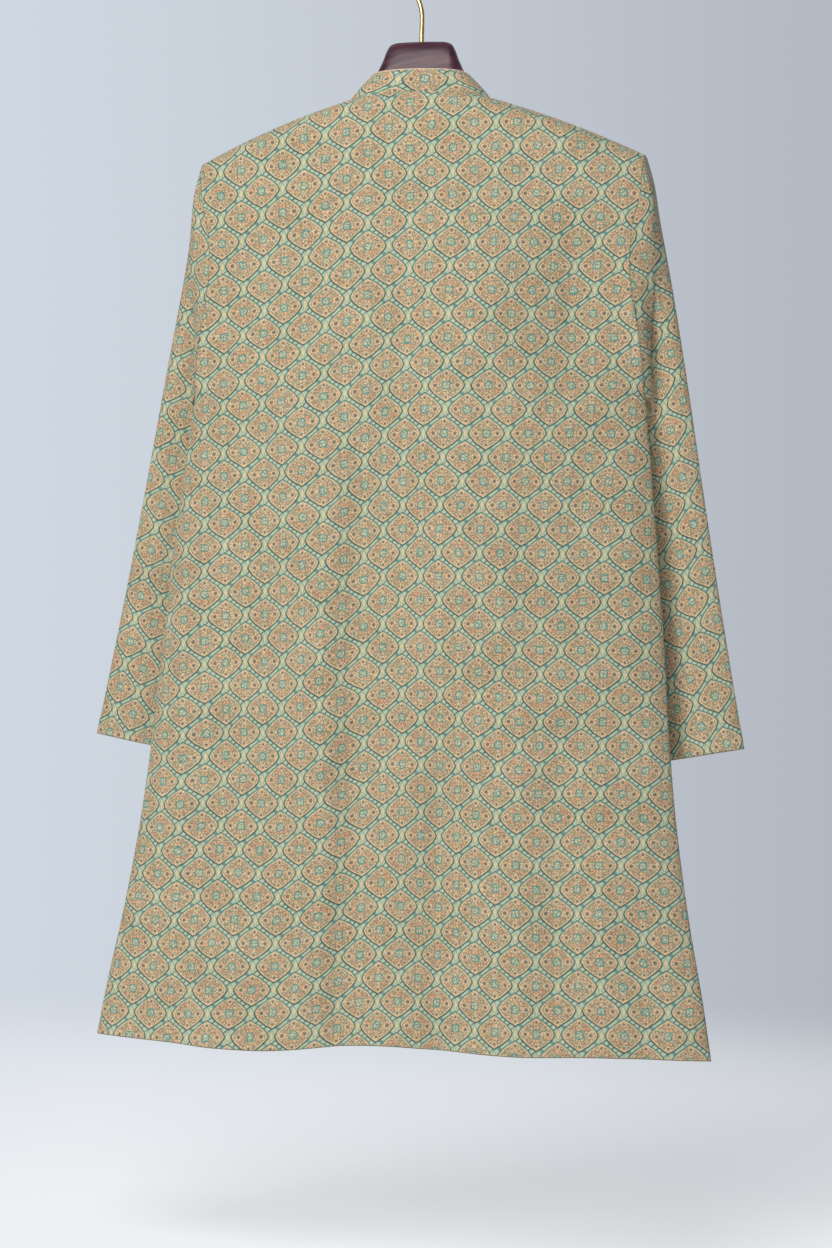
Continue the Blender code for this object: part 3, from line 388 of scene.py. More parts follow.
# The print, in millimetres of one half-drop repeat
REPEAT_X, REPEAT_Y = 44.0, 49.0
SHAKE = 1.6
MEDALLION_HALF_X, MEDALLION_HALF_Y = 18.2, 16.8
MEDALLION_POWER = 1.62
Petal = namedtuple("Petal", "x y flatness size")
PETALS = make_rows(
    Petal,
    (6.9, 6.4, 1.0, 3.0), (7.9, 5.9, 1.3, 1.3), (11.4, 4.1, 1.5, 1.9), (4.3, 10.0, 0.75, 1.6),
)
PETAL_LINE = 0.34
ROSETTE_RADIUS = 4.1
DOT_RADIUS, DOT_RIM_RADIUS = 1.95, 3.1
DOT_OUT, DOT_UP = 11.4, 12.0
RIBBON_WAY = (0.668, -0.744)
THIN_BAR_STEP = 2.6
THICK_BAR_OUT = 6.5
LEAF_UP, LEAF_RADIUS = 7.2, 0.9
OUTLINE_OUT, OUTLINE_HALF = 0.3, 0.74
# Its colours: the socket on the node group, and the setting that fills it
PRINT_COLOURS = (
    ("Ground", "ground"), ("Rim", "rim"), ("Blush", "blush"), ("Scribble", "scribble"),
    ("Outline", "outline"), ("Pale Ribbon", "pale_ribbon"), ("Deep Ribbon", "deep_ribbon"),
    ("Bar", "bar"), ("Neck", "neck"), ("Dot", "dot"), ("Rosette", "rosette"),
)
PORE_COLOUR = (0.012, 0.006, 0.005)

# Layout of the shader nodes
NODE_ROWS, NODE_WIDTH, NODE_HEIGHT = 7, 190.0, 170.0

# Flat cuts: width and length of the rectangle each piece is cut from, and its own area
Cut = namedtuple("Cut", "width length area")
CUTS = {
    "back": Cut(0.640, 0.985, 0.505),
    "front": Cut(0.640, 0.965, 0.482),
    "sleeve": Cut(0.500, 0.640, 0.130),
    "collar": Cut(0.375, 0.036, 0.0127),
    "placket": Cut(0.033, 0.385, 0.0120),
}


# Form of the garment, worked out from the values above

def read_curve(stations, values, places):
    """A smooth curve through values at the stations, or one such curve for each place."""
    stations, places = np.asarray(stations, dtype=float), np.asarray(places, dtype=float)
    slopes = np.gradient(values, stations, axis=0)
    low = np.clip(np.searchsorted(stations, places) - 1, 0, len(stations) - 2)

    def pick(grid, index):
        return grid[index] if grid.ndim == 1 else np.take_along_axis(grid, index[None], axis=0)[0]

    span = stations[low + 1] - stations[low]
    part = np.clip((places - stations[low]) / span, 0.0, 1.0)
    keep, turn = part * part * (3.0 - 2.0 * part), part * (1.0 - part)
    bend = turn * (1.0 - part) * pick(slopes, low) - turn * part * pick(slopes, low + 1)
    return pick(values, low) + (pick(values, low + 1) - pick(values, low)) * keep + span * bend


def read_table(rows, column, places):
    """Values of a named column, on a smooth curve through the rows."""
    values = np.array([getattr(row, column) for row in rows], dtype=float)
    return read_curve([row[0] for row in rows], values, places)


def mix(start, end, part):
    """The value a given part of the way from start to end."""
    return start + (end - start) * part


def ease(start, end, value):
    """0 before start and 1 after end, with a soft change between."""
    part = np.clip((np.asarray(value, dtype=float) - start) / (end - start), 0.0, 1.0)
    return part * part * (3.0 - 2.0 * part)


def unit(vectors):
    """A vector, or every vector of a grid, at length 1."""
    return vectors / np.maximum(np.linalg.norm(vectors, axis=-1, keepdims=True), 1e-12)


def shoulder_down(out):
    """How far the shoulder line lies below the hook's top, out from the middle."""
    part = (out - NECK_HALF) / (SHOULDER_HALF - NECK_HALF)
    curved = SHOULDER_STRAIGHT * part + (1.0 - SHOULDER_STRAIGHT) * part ** 2
    slope = NECK_DOWN + SHOULDER_DROP * curved
    neck = NECK_DOWN - NECK_RISE * (1.0 - (out / NECK_HALF) ** 2)
    return np.where(out < NECK_HALF, neck, slope)


def shoulder_y(out):
    """The shoulder line curves forward toward its tips."""
    return SHOULDER_FORWARD * (out / SHOULDER_HALF) ** 2


def edge_half_depth(down):
    """Half the distance between front and back at the panel's side edge."""
    start = NECK_DOWN + SHOULDER_DROP + ROLL_RADIUS
    part = np.clip((down - start) / (UNDERARM_DOWN - start), 0.0, 1.0)
    hole = np.maximum(TIP_HALF_DEPTH * np.sqrt(np.cos(part * math.pi / 2)), SEAM_GAP / 2)
    seam = SEAM_GAP / 2 + SLIT_OPENING * ease(SLIT_DOWN, HEM_DOWN, down)
    return np.where(down >= UNDERARM_DOWN, seam, hole)


def fold_height(folds, x, down, share):
    """How far the folds lift the cloth outward, fading to nothing at the side edges."""
    total = np.zeros(np.broadcast(x, down).shape)
    for fold in folds:
        along = (down - fold.down_upper) / (fold.down_lower - fold.down_upper)
        centre = mix(fold.x_upper, fold.x_lower, along)
        rise = np.exp(-((x - centre) / fold.half_width) ** 2)
        strength = ease(0.0, FOLD_GROWN, along) * (1.0 - ease(FOLD_FADING, 1.0, along))
        inside = (along > 0.0) & (along < 1.0)
        total += fold.height * rise * strength * inside
    return total * (1.0 - share ** FOLD_EDGE_POWER)


def ripple_height(face, x, down, share):
    """Slow waves that keep the hanging cloth from looking pressed."""
    total = np.zeros(np.broadcast(x, down).shape)
    for ripple in RIPPLES:
        turn = x / ripple.x_length * face + down / ripple.down_length
        total += ripple.height * np.sin(2 * math.pi * turn + ripple.phase)
    calm = ease(*RIPPLES_GROW_DOWN, down)
    return total * (1.0 - share ** FOLD_EDGE_POWER) * calm


def body_x(x_sign, share, down):
    """Distance from the middle, positive on the right."""
    return x_sign * share * read_table(BODY, "half_width", down)


def body_y(face, x_sign, share, down):
    """Depth of the front or back surface, a share of the way out to its side edge."""
    share = np.minimum(np.abs(share), 1.0)
    side = read_table(BODY, "side_y", down)
    centre = read_table(BODY, "front_y" if face == FRONT else "back_y", down)
    lens = (1.0 - share ** 2) ** (read_table(BODY, "roundness", down) / 2)
    lower = ease(OPENING_NARROWS_DOWN, UNDERARM_DOWN, down)
    opening = edge_half_depth(down) * share ** mix(OPENING_POWER_UPPER, OPENING_POWER_LOWER, lower)
    x = body_x(x_sign, share, down)
    lift = fold_height(FOLDS[face], x, down, share) + ripple_height(face, x, down, share)
    return mix(side, centre, lens) + face * (opening + lift)


def hem_down(face, x_sign, share):
    """The hem's depth at a share of the way out."""
    if face == FRONT:
        return np.full(np.shape(share), HEM_DOWN)
    return HEM_DOWN + read_table(BACK_HEM, "drop", body_x(x_sign, share, HEM_DOWN))


def surface_points(face, x_sign, share, run):
    """Points of the panel, a run along the cloth from the shoulder line."""
    out = share * SHOULDER_HALF
    top = shoulder_down(out)
    flat_down = top + ROLL_RADIUS + run - ROLL_LENGTH
    angle = (1.0 - np.clip(run / ROLL_LENGTH, 0.0, 1.0)) * math.pi / 2
    rolled_down = top + ROLL_RADIUS * (1.0 - np.sin(angle))
    below = run >= ROLL_LENGTH
    down = np.where(below, flat_down, rolled_down)
    seam = shoulder_y(out) + face * SEAM_GAP / 2
    level = body_y(face, x_sign, share, top + ROLL_RADIUS)
    y = np.where(below, body_y(face, x_sign, share, flat_down), mix(seam, level, np.cos(angle)))
    return np.stack([body_x(x_sign, share, down), y, -down], axis=-1)


def column_shares():
    """Shares of the half width for each column, at the neck and in the body."""
    notch = NOTCH_HALF / SHOULDER_HALF
    neck = NECK_HALF / SHOULDER_HALF
    part = np.linspace(0.0, 1.0, NECK_COLUMNS + 1)
    inner = neck * np.sin(math.pi / 2 * (1.0 - (1.0 - part) ** NECK_CROWDING))
    near_edge = 1.0 - np.array(EDGE_INSETS)
    part = np.linspace(0.0, 1.0, SHOULDER_COLUMNS - 2)[1:]
    outer = mix(neck, near_edge[0], part)
    upper = np.concatenate([inner, outer, near_edge[1:]])
    count = len(upper) - 4
    lower = np.concatenate([np.linspace(0.0, near_edge[0], count + 1), near_edge[1:]])
    for shares in (upper, lower):
        shares[1] = notch / 2
        shares[2] = notch
        shares[3:7] = np.linspace(notch, shares[7], 5)[:-1] + (shares[7] - notch) / 5 * 0.4
    return upper, lower


def neck_run(face, out):
    """Run from the shoulder line to the neckline, which is a quarter of an oval."""
    depth = FRONT_NECK_RUN if face == FRONT else BACK_NECK_RUN
    rest = np.maximum(1.0 - (out / NECK_HALF) ** NECK_SQUARENESS, 0.0)
    return depth * rest ** (1.0 / NECK_SQUARENESS)


def panel_levels(settings, upper_down, hem):
    """How far down every row below the shoulder roll lies, column by column."""
    levels = [mix(upper_down, UNDERARM_DOWN, math.sin(math.pi / 2 * step / ARMHOLE_ROWS))
              for step in range(1, ARMHOLE_ROWS + 1)]
    levels += [np.full_like(upper_down, mix(UNDERARM_DOWN, SLIT_DOWN, step / BODY_ROWS))
               for step in range(1, BODY_ROWS + 1)]
    fold_edge = hem - settings.hem_depth
    levels += [mix(SLIT_DOWN, fold_edge - HEM_STEP, step / SKIRT_ROWS)
               for step in range(1, SKIRT_ROWS + 1)]
    levels += [fold_edge, fold_edge + HEM_STEP]
    levels += [mix(fold_edge + HEM_STEP, hem - HEM_LAST_STEP, step / HEM_ROWS)
               for step in range(1, HEM_ROWS + 1)]
    return levels + [hem]


Panel = namedtuple("Panel", "outer inner normals places downs shares")


def grid_normals(grid, closed=False):
    """Directions square to the grid at its points, worked out from their neighbours."""
    if closed:
        across = np.roll(grid, -1, axis=1) - np.roll(grid, 1, axis=1)
    else:
        across = np.gradient(grid, axis=1)
    return unit(np.cross(across, np.gradient(grid, axis=0)))


def panel_surface(face, settings):
    """Outer points, normals, distances across and down, and shares of a panel, row by row."""
    last = NECK_COLUMNS + SHOULDER_COLUMNS
    numbers = np.arange(-last, last + 1)
    x_sign = np.where(numbers < 0, -1.0, 1.0)
    upper, lower = (shares[np.abs(numbers)] for shares in column_shares())
    start = neck_run(face, upper * SHOULDER_HALF)
    roll_end = start + np.maximum(ROLL_LENGTH - start, LEAST_TOP_RUN)
    shares = [upper] * (ROLL_ROWS + 1)
    runs = [mix(start, roll_end, step / ROLL_ROWS) for step in range(ROLL_ROWS + 1)]
    upper_down = shoulder_down(upper * SHOULDER_HALF) + ROLL_RADIUS + roll_end - ROLL_LENGTH
    levels = panel_levels(settings, upper_down, hem_down(face, x_sign, lower))
    for step, down in enumerate(levels):
        share = mix(upper, lower, ease(0.0, COLUMN_CHANGE_ROWS, step + 1))
        shares.append(share)
        runs.append(down - shoulder_down(share * SHOULDER_HALF) - ROLL_RADIUS + ROLL_LENGTH)
    shares, runs = np.array(shares), np.array(runs)
    points = surface_points(face, x_sign, shares, runs)
    normals = grid_normals(points) * -1.0 * face
    if normals[len(points) // 2, last, 1] * face < 0:
        normals = -normals
    downs = shoulder_down(shares * SHOULDER_HALF) + ROLL_RADIUS + runs - ROLL_LENGTH
    steps = np.hypot(np.diff(points[..., 0], axis=1), np.diff(points[..., 1], axis=1))
    across = np.concatenate([np.zeros((len(points), 1)), np.cumsum(steps, axis=1)], axis=1)
    across -= across[:, last:last + 1]
    return points, normals, across, downs, shares


def grain_places(face, across, downs):
    """Where each point of a panel lies on the flat printed cloth."""
    share = 1.0 if face == BACK else FRONT_GRAIN_SHARE
    shifts = []
    for kind in ("sideways", "upward"):
        table = np.array([getattr(row, kind) for row in GRAIN]) * 0.001 * share
        stations = [row.down for row in GRAIN]
        curves = np.stack([read_curve(stations, column, downs) for column in table.T])
        shifts.append(read_curve(GRAIN_ACROSS, curves, across))
    return np.stack([across - MEDALLION_X - shifts[0], MEDALLION_DOWN - downs - shifts[1]], axis=-1)


def armhole_walls(back, front, thickness):
    """Outer and inner points round one armhole, down the back and up the front."""
    seam_rows = ROLL_ROWS + ARMHOLE_ROWS
    top = (back[0] + front[0]) / 2
    bottom = (back[seam_rows] + front[seam_rows]) / 2
    loop = np.array([top, *back[1:seam_rows], bottom, *front[1:seam_rows][::-1]])
    before = loop - np.roll(loop, 1, axis=0)
    after = np.roll(loop, -1, axis=0) - loop
    inner = []
    centre = loop.mean(axis=0)
    for point, edge_in, edge_out in zip(loop, before, after):
        first = unit(np.array((0.0, -edge_in[2], edge_in[1])))
        second = unit(np.array((0.0, -edge_out[2], edge_out[1])))
        direction = unit(first + second)
        miter = thickness / max(float(direction @ first), 0.5)
        if direction @ (point - centre) > 0:
            direction = -direction
        inner.append(point + direction * miter)
    return loop, np.array(inner)


def set_edge_walls(grid, inner, edge_column, loop_inner, face, thickness):
    """Square the wall's edges: shoulder seam, armhole and side seam of one side."""
    seam_rows = ROLL_ROWS + ARMHOLE_ROWS
    count = len(loop_inner)
    for row in range(grid.shape[0]):
        outer = grid[row, edge_column]
        if row == 0:
            inner[row, edge_column] = outer + (0.0, 0.0, -thickness)
        elif row < seam_rows:
            inner[row, edge_column] = loop_inner[row if face == BACK else count - row]
        else:
            inner[row, edge_column] = outer + (-np.sign(outer[0]) * thickness, 0.0, 0.0)
    lift = loop_inner[seam_rows][2] - grid[seam_rows, edge_column][2]
    inner[seam_rows, edge_column][2] += lift


def hem_band(settings, panel_downs, shares):
    """How far the turned hem and slit edges stand out, for every point of a panel."""
    hem = panel_downs[-1]
    above = hem - panel_downs
    depth, turn = settings.hem_depth, settings.slit_turn
    band = 1.0 - ease(depth - TURN_SOFTNESS, depth + TURN_SOFTNESS, above)
    half = read_table(BODY, "half_width", panel_downs)
    inward = (1.0 - shares) * half
    slit = 1.0 - ease(turn - EDGE_SOFTNESS, turn + EDGE_SOFTNESS, inward)
    slit = slit * ease(*SLIT_TURN_STARTS, panel_downs)
    rise = settings.turned_rise * np.maximum(band, slit)
    return rise * (1.0 - 0.9 * np.exp(-(inward / EDGE_SOFTNESS) ** 2))


@lru_cache
def garment():
    """Both panels and both armhole loops, shared by every sewn piece."""
    settings = bpy.context.scene.kurta_cloth
    thickness = settings.thickness
    made = {}
    for face in (BACK, FRONT):
        points, normals, across, downs, shares = panel_surface(face, settings)
        on_shoulder = shares * SHOULDER_HALF >= NECK_HALF - 1e-6
        seam = np.exp(-(downs - downs[0]) / SEAM_WIDTH) * on_shoulder
        points = points - normals * (settings.seam_sink * seam)[..., None]
        points = points + normals * hem_band(settings, downs, shares)[..., None]
        points[-1] -= normals[-1] * EDGE_ROUNDING
        made[face] = (points, normals, across, downs, shares)
    loops = [armhole_walls(made[BACK][0][:, edge], made[FRONT][0][:, edge], thickness)
             for edge in (0, -1)]
    panels = {}
    for face, (points, normals, across, downs, shares) in made.items():
        middle = points.shape[1] // 2
        outside = np.abs(np.arange(points.shape[1]) - middle) >= NECK_COLUMNS
        normals = normals.copy()
        normals[0, outside, 1] = 0.0
        normals[-1, :, 2] = 0.0
        normals /= np.linalg.norm(normals, axis=2, keepdims=True)
        inner = points - normals * thickness
        for edge_column, (_, loop_inner) in zip((0, -1), loops):
            set_edge_walls(points, inner, edge_column, loop_inner, face, thickness)
        places = grain_places(face, across, downs)
        panels[face] = Panel(points, inner, normals, places, downs, shares)
    return panels, loops


# Meshes

def wall_faces(rows, columns, keep, closed):
    """Corner rows, columns and sides of the faces of a closed wall, and which are inside."""
    cells = columns if closed else columns - 1
    if keep is None:
        keep = np.ones((rows - 1, cells), dtype=bool)
    row, cell = np.nonzero(keep)
    ring_rows = np.stack([row, row, row + 1, row + 1], axis=1)
    ring_columns = np.stack([cell, cell + 1, cell + 1, cell], axis=1)
    zeros = np.zeros_like(ring_rows)
    corners = [np.stack([ring_rows, ring_columns, zeros], axis=2),
               np.stack([ring_rows, ring_columns, zeros + 1], axis=2)[:, ::-1]]
    kinds = [np.zeros(len(row), dtype=int), np.ones(len(row), dtype=int)]
    rims = []
    for number, (step_row, step_cell) in enumerate(((-1, 0), (0, 1), (1, 0), (0, -1))):
        next_row, next_cell = row + step_row, cell + step_cell
        if closed:
            next_cell = next_cell % cells
        inside = (next_row >= 0) & (next_row < rows - 1) & (next_cell >= 0) & (next_cell < cells)
        covered = np.zeros(len(row), dtype=bool)
        covered[inside] = keep[next_row[inside], next_cell[inside]]
        bare = ~covered
        first = corners[0][bare, number]
        second = corners[0][bare, (number + 1) % 4]
        deeper = np.array((0, 0, 1))
        rims.append(np.stack([first, first + deeper, second + deeper, second], axis=1))
    corners.append(np.concatenate(rims))
    kinds.append(np.full(len(corners[-1]), 2))
    return np.concatenate(corners), np.concatenate(kinds)


@contextmanager
def editing(mesh):
    """A mesh opened for changes, which are written back at the end."""
    editor = bmesh.new()
    editor.from_mesh(mesh)
    yield editor
    editor.to_mesh(mesh)
    editor.free()


def make_mesh(name, points, faces, places=None, looks=None):
    """A smooth mesh with its faces turned outward, and a UV map in metres of cloth."""
    mesh = bpy.data.meshes.new(name)
    mesh.from_pydata([tuple(point) for point in points], [], [tuple(face) for face in faces])
    if places is not None:
        layer = mesh.uv_layers.new(name="cloth")
        layer.data.foreach_set("uv", np.asarray(places, dtype=np.float32).ravel())
    if looks is not None:
        mesh.polygons.foreach_set("material_index", np.asarray(looks, dtype=np.int32))
    with editing(mesh) as editor:
        loose = [vertex for vertex in editor.verts if not vertex.link_faces]
        bmesh.ops.delete(editor, geom=loose, context="VERTS")
        if editor.calc_volume(signed=True) < 0.0:
            bmesh.ops.reverse_faces(editor, faces=editor.faces)
    mesh.shade_smooth()
    mesh.set_sharp_from_angle(angle=SHARP_ANGLE)
    return mesh


def add_piece(name, mesh, materials, replaced=()):
    """Link a finished piece, give it its materials and fasten it to the body."""
    piece = bpy.data.objects.new(name, mesh)
    for material in materials:
        mesh.materials.append(material)
    bpy.context.scene.collection.objects.link(piece)
    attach(piece, BODY_NAME)
    if replaced:
        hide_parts(*replaced)
    return piece


def wall_mesh(name, outer, inner, places, keep=None, closed=False, edge_look=0, edge_row=None):
    """A wall between two grids, whose rims and outer rows from edge_row on have the edge's look.

    The places have one column more than the grids when the wall is closed round.
    """
    rows, columns = outer.shape[:2]
    corners, kinds = wall_faces(rows, columns, keep, closed)
    layer = rows * columns
    indices = corners[..., 2] * layer + corners[..., 0] * columns + corners[..., 1] % columns
    cloth = places[corners[..., 0], corners[..., 1]]
    points = np.concatenate([outer.reshape(-1, 3), inner.reshape(-1, 3)])
    looks = np.array((0, 1, edge_look))[kinds]
    if edge_row is not None:
        looks[(kinds == 0) & (corners[:, :, 0].min(axis=1) >= edge_row)] = edge_look
    return make_mesh(name, points, indices.tolist(), cloth.reshape(-1, 2), looks)


def tube_faces(ring_count, sides):
    """Faces of a closed solid made of rings with the same number of points."""
    faces = []
    for ring in range(ring_count - 1):
        low, high = ring * sides, (ring + 1) * sides
        for side in range(sides):
            after = (side + 1) % sides
            faces.append((low + side, low + after, high + after, high + side))
    faces.append(tuple(range(sides))[::-1])
    faces.append(tuple(range((ring_count - 1) * sides, ring_count * sides)))
    return faces


def circle(count, radius=1.0):
    """Evenly spaced points of a circle round the origin of a plane."""
    angles = [2 * math.pi * index / count for index in range(count)]
    return [(radius * math.cos(angle), radius * math.sin(angle)) for angle in angles]


def along_line(line, spacing, length):
    """Start and end of each stitch on a line of points, evenly spaced along it."""
    steps = np.linalg.norm(np.diff(line[:, :3], axis=0), axis=1)
    reach = np.concatenate([[0.0], np.cumsum(steps)])
    count = max(int((reach[-1] - length) // spacing), 1)
    spare = reach[-1] - (count - 1) * spacing - length
    starts = spare / 2 + spacing * np.arange(count)

    def at(distance):
        return np.stack([np.interp(distance, reach, column) for column in line.T], axis=1)

    return at(starts), at(starts + length)


def thread_bars(name, bars, radius):
    """One short thread for each pair of points, each point with its normal beside it."""
    points, faces = [], []
    for start, end in bars:
        start, end = np.asarray(start), np.asarray(end)
        normal, way = unit(start[3:] + end[3:]), unit(end[:3] - start[:3])
        side = unit(np.cross(normal, way))
        first = len(points)
        for ring in STITCH_RINGS:
            centre = mix(start[:3], end[:3], ring.along) + normal * radius * ring.rise
            points += [centre + (side * cosine + normal * sine) * radius * ring.size
                       for cosine, sine in circle(STITCH_SIDES)]
        faces += [tuple(first + index for index in face)
                  for face in tube_faces(len(STITCH_RINGS), STITCH_SIDES)]
    mesh = bpy.data.meshes.new(name)
    mesh.from_pydata([tuple(point) for point in points], [], faces)
    with editing(mesh) as editor:
        bmesh.ops.recalc_face_normals(editor, faces=editor.faces)
    mesh.shade_smooth()
    return mesh


# Shader trees

class Field:
    """A value in a shader tree, so that patterns are written as sums."""

    def __init__(self, tree, socket):
        self.tree = tree
        self.socket = socket

    def sum(self, operation, *others):
        """This value combined with others by one maths node."""
        node = self.tree.nodes.new("ShaderNodeMath")
        node.operation = operation
        place_node(self.tree, node)
        for socket, value in zip(node.inputs, (self, *others)):
            set_socket(self.tree, socket, value)
        return Field(self.tree, node.outputs[0])

    __add__ = __radd__ = partialmethod(sum, "ADD")
    __sub__ = partialmethod(sum, "SUBTRACT")
    __mul__ = __rmul__ = partialmethod(sum, "MULTIPLY")
    __truediv__ = partialmethod(sum, "DIVIDE")
    __pow__ = partialmethod(sum, "POWER")
    __abs__ = partialmethod(sum, "ABSOLUTE")
    least = partialmethod(sum, "MINIMUM")
    most = partialmethod(sum, "MAXIMUM")
    root = partialmethod(sum, "SQRT")

    def __rsub__(self, other):
        """A plain number less this value."""
        return (self * -1.0) + other

    def wrapped(self, half):
        """The value folded into the span from -half to half."""
        return self.sum("WRAP", half, half * -1.0)

    def rising(self, start, end):
        """0 before start and 1 after end, with a soft change between."""
        node = self.tree.nodes.new("ShaderNodeMapRange")
        node.interpolation_type = "SMOOTHSTEP"
        place_node(self.tree, node)
        self.tree.links.new(self.socket, node.inputs["Value"])
        node.inputs["From Min"].default_value = start
        node.inputs["From Max"].default_value = end
        return Field(self.tree, node.outputs["Result"])

    def within(self, size, soft):
        """1 where the value is under size, and 0 beyond it."""
        return 1.0 - self.rising(size - soft, size + soft)


def place_node(tree, node):
    """Set nodes out in columns, in the order they are made."""
    column, row = divmod(len(tree.nodes), NODE_ROWS)
    node.location = (NODE_WIDTH * column, -NODE_HEIGHT * row)


def new_group(name, inputs, outputs):
    """An empty shader node group with named sockets: (name, kind, default)."""
    tree = bpy.data.node_groups.new(name, "ShaderNodeTree")
    for label, kind, default in inputs:
        socket = tree.interface.new_socket(name=label, in_out="INPUT", socket_type=kind)
        if default is not None:
            socket.default_value = default
    for label, kind in outputs:
        tree.interface.new_socket(name=label, in_out="OUTPUT", socket_type=kind)
    return tree, tree.nodes.new("NodeGroupInput"), tree.nodes.new("NodeGroupOutput")


def set_socket(tree, socket, value):
    """Give an input socket a link or a plain value."""
    if isinstance(value, Field):
        value = value.socket
    if isinstance(value, bpy.types.NodeSocket):
        tree.links.new(value, socket)
    else:
        socket.default_value = value


def axes(tree, place):
    """The parts of a vector along its three axes."""
    node = tree.nodes.new("ShaderNodeSeparateXYZ")
    tree.links.new(place, node.inputs[0])
    return [Field(tree, socket) for socket in node.outputs]


def coordinates(tree, kind="Object"):
    """Texture coordinates of one kind."""
    return tree.nodes.new("ShaderNodeTexCoord").outputs[kind]


def rgba(colour, share=1.0):
    """A colour with its alpha, darkened to a share of its light."""
    return (*(channel * share for channel in colour), 1.0)


def join(tree, x, y, z=0.0):
    """A vector from three values."""
    node = tree.nodes.new("ShaderNodeCombineXYZ")
    place_node(tree, node)
    for name, value in zip("XYZ", (x, y, z)):
        set_socket(tree, node.inputs[name], value)
    return node.outputs[0]


def noise(tree, place, scale, detail=2.0, roughness=0.5):
    """Soft noise from 0 to 1, with its scale in repeats to the metre."""
    node = tree.nodes.new("ShaderNodeTexNoise")
    place_node(tree, node)
    tree.links.new(place, node.inputs["Vector"])
    node.inputs["Scale"].default_value = scale
    node.inputs["Detail"].default_value = detail
    node.inputs["Roughness"].default_value = roughness
    return Field(tree, node.outputs[0])


def blend(tree, base, top, mask):
    """One colour laid over another where the mask is 1."""
    node = tree.nodes.new("ShaderNodeMix")
    node.data_type = "RGBA"
    place_node(tree, node)
    for name, value in (("Factor_Float", mask), ("A_Color", base), ("B_Color", top)):
        set_socket(tree, next(item for item in node.inputs if item.identifier == name), value)
    return next(item for item in node.outputs if item.identifier == "Result_Color")


def layered(tree, base, *layers):
    """A colour with others laid over it in turn, each with its mask."""
    for top, mask in layers:
        base = blend(tree, base, top, mask)
    return base


def cells(tree, place, scale):
    """Small uneven cells: the distance to their edges, and two chance values for each."""
    nodes = []
    for feature in ("DISTANCE_TO_EDGE", "F1"):
        node = tree.nodes.new("ShaderNodeTexVoronoi")
        node.voronoi_dimensions = "2D"
        node.feature = feature
        place_node(tree, node)
        tree.links.new(place, node.inputs["Vector"])
        node.inputs["Scale"].default_value = scale
        nodes.append(node)
    split = tree.nodes.new("ShaderNodeSeparateColor")
    tree.links.new(nodes[1].outputs["Color"], split.inputs[0])
    return [Field(tree, socket) for socket in (nodes[0].outputs["Distance"], *split.outputs[:2])]


def ring_of(x, y):
    """Distance from the middle of a motif."""
    return (x * x + y * y).root()


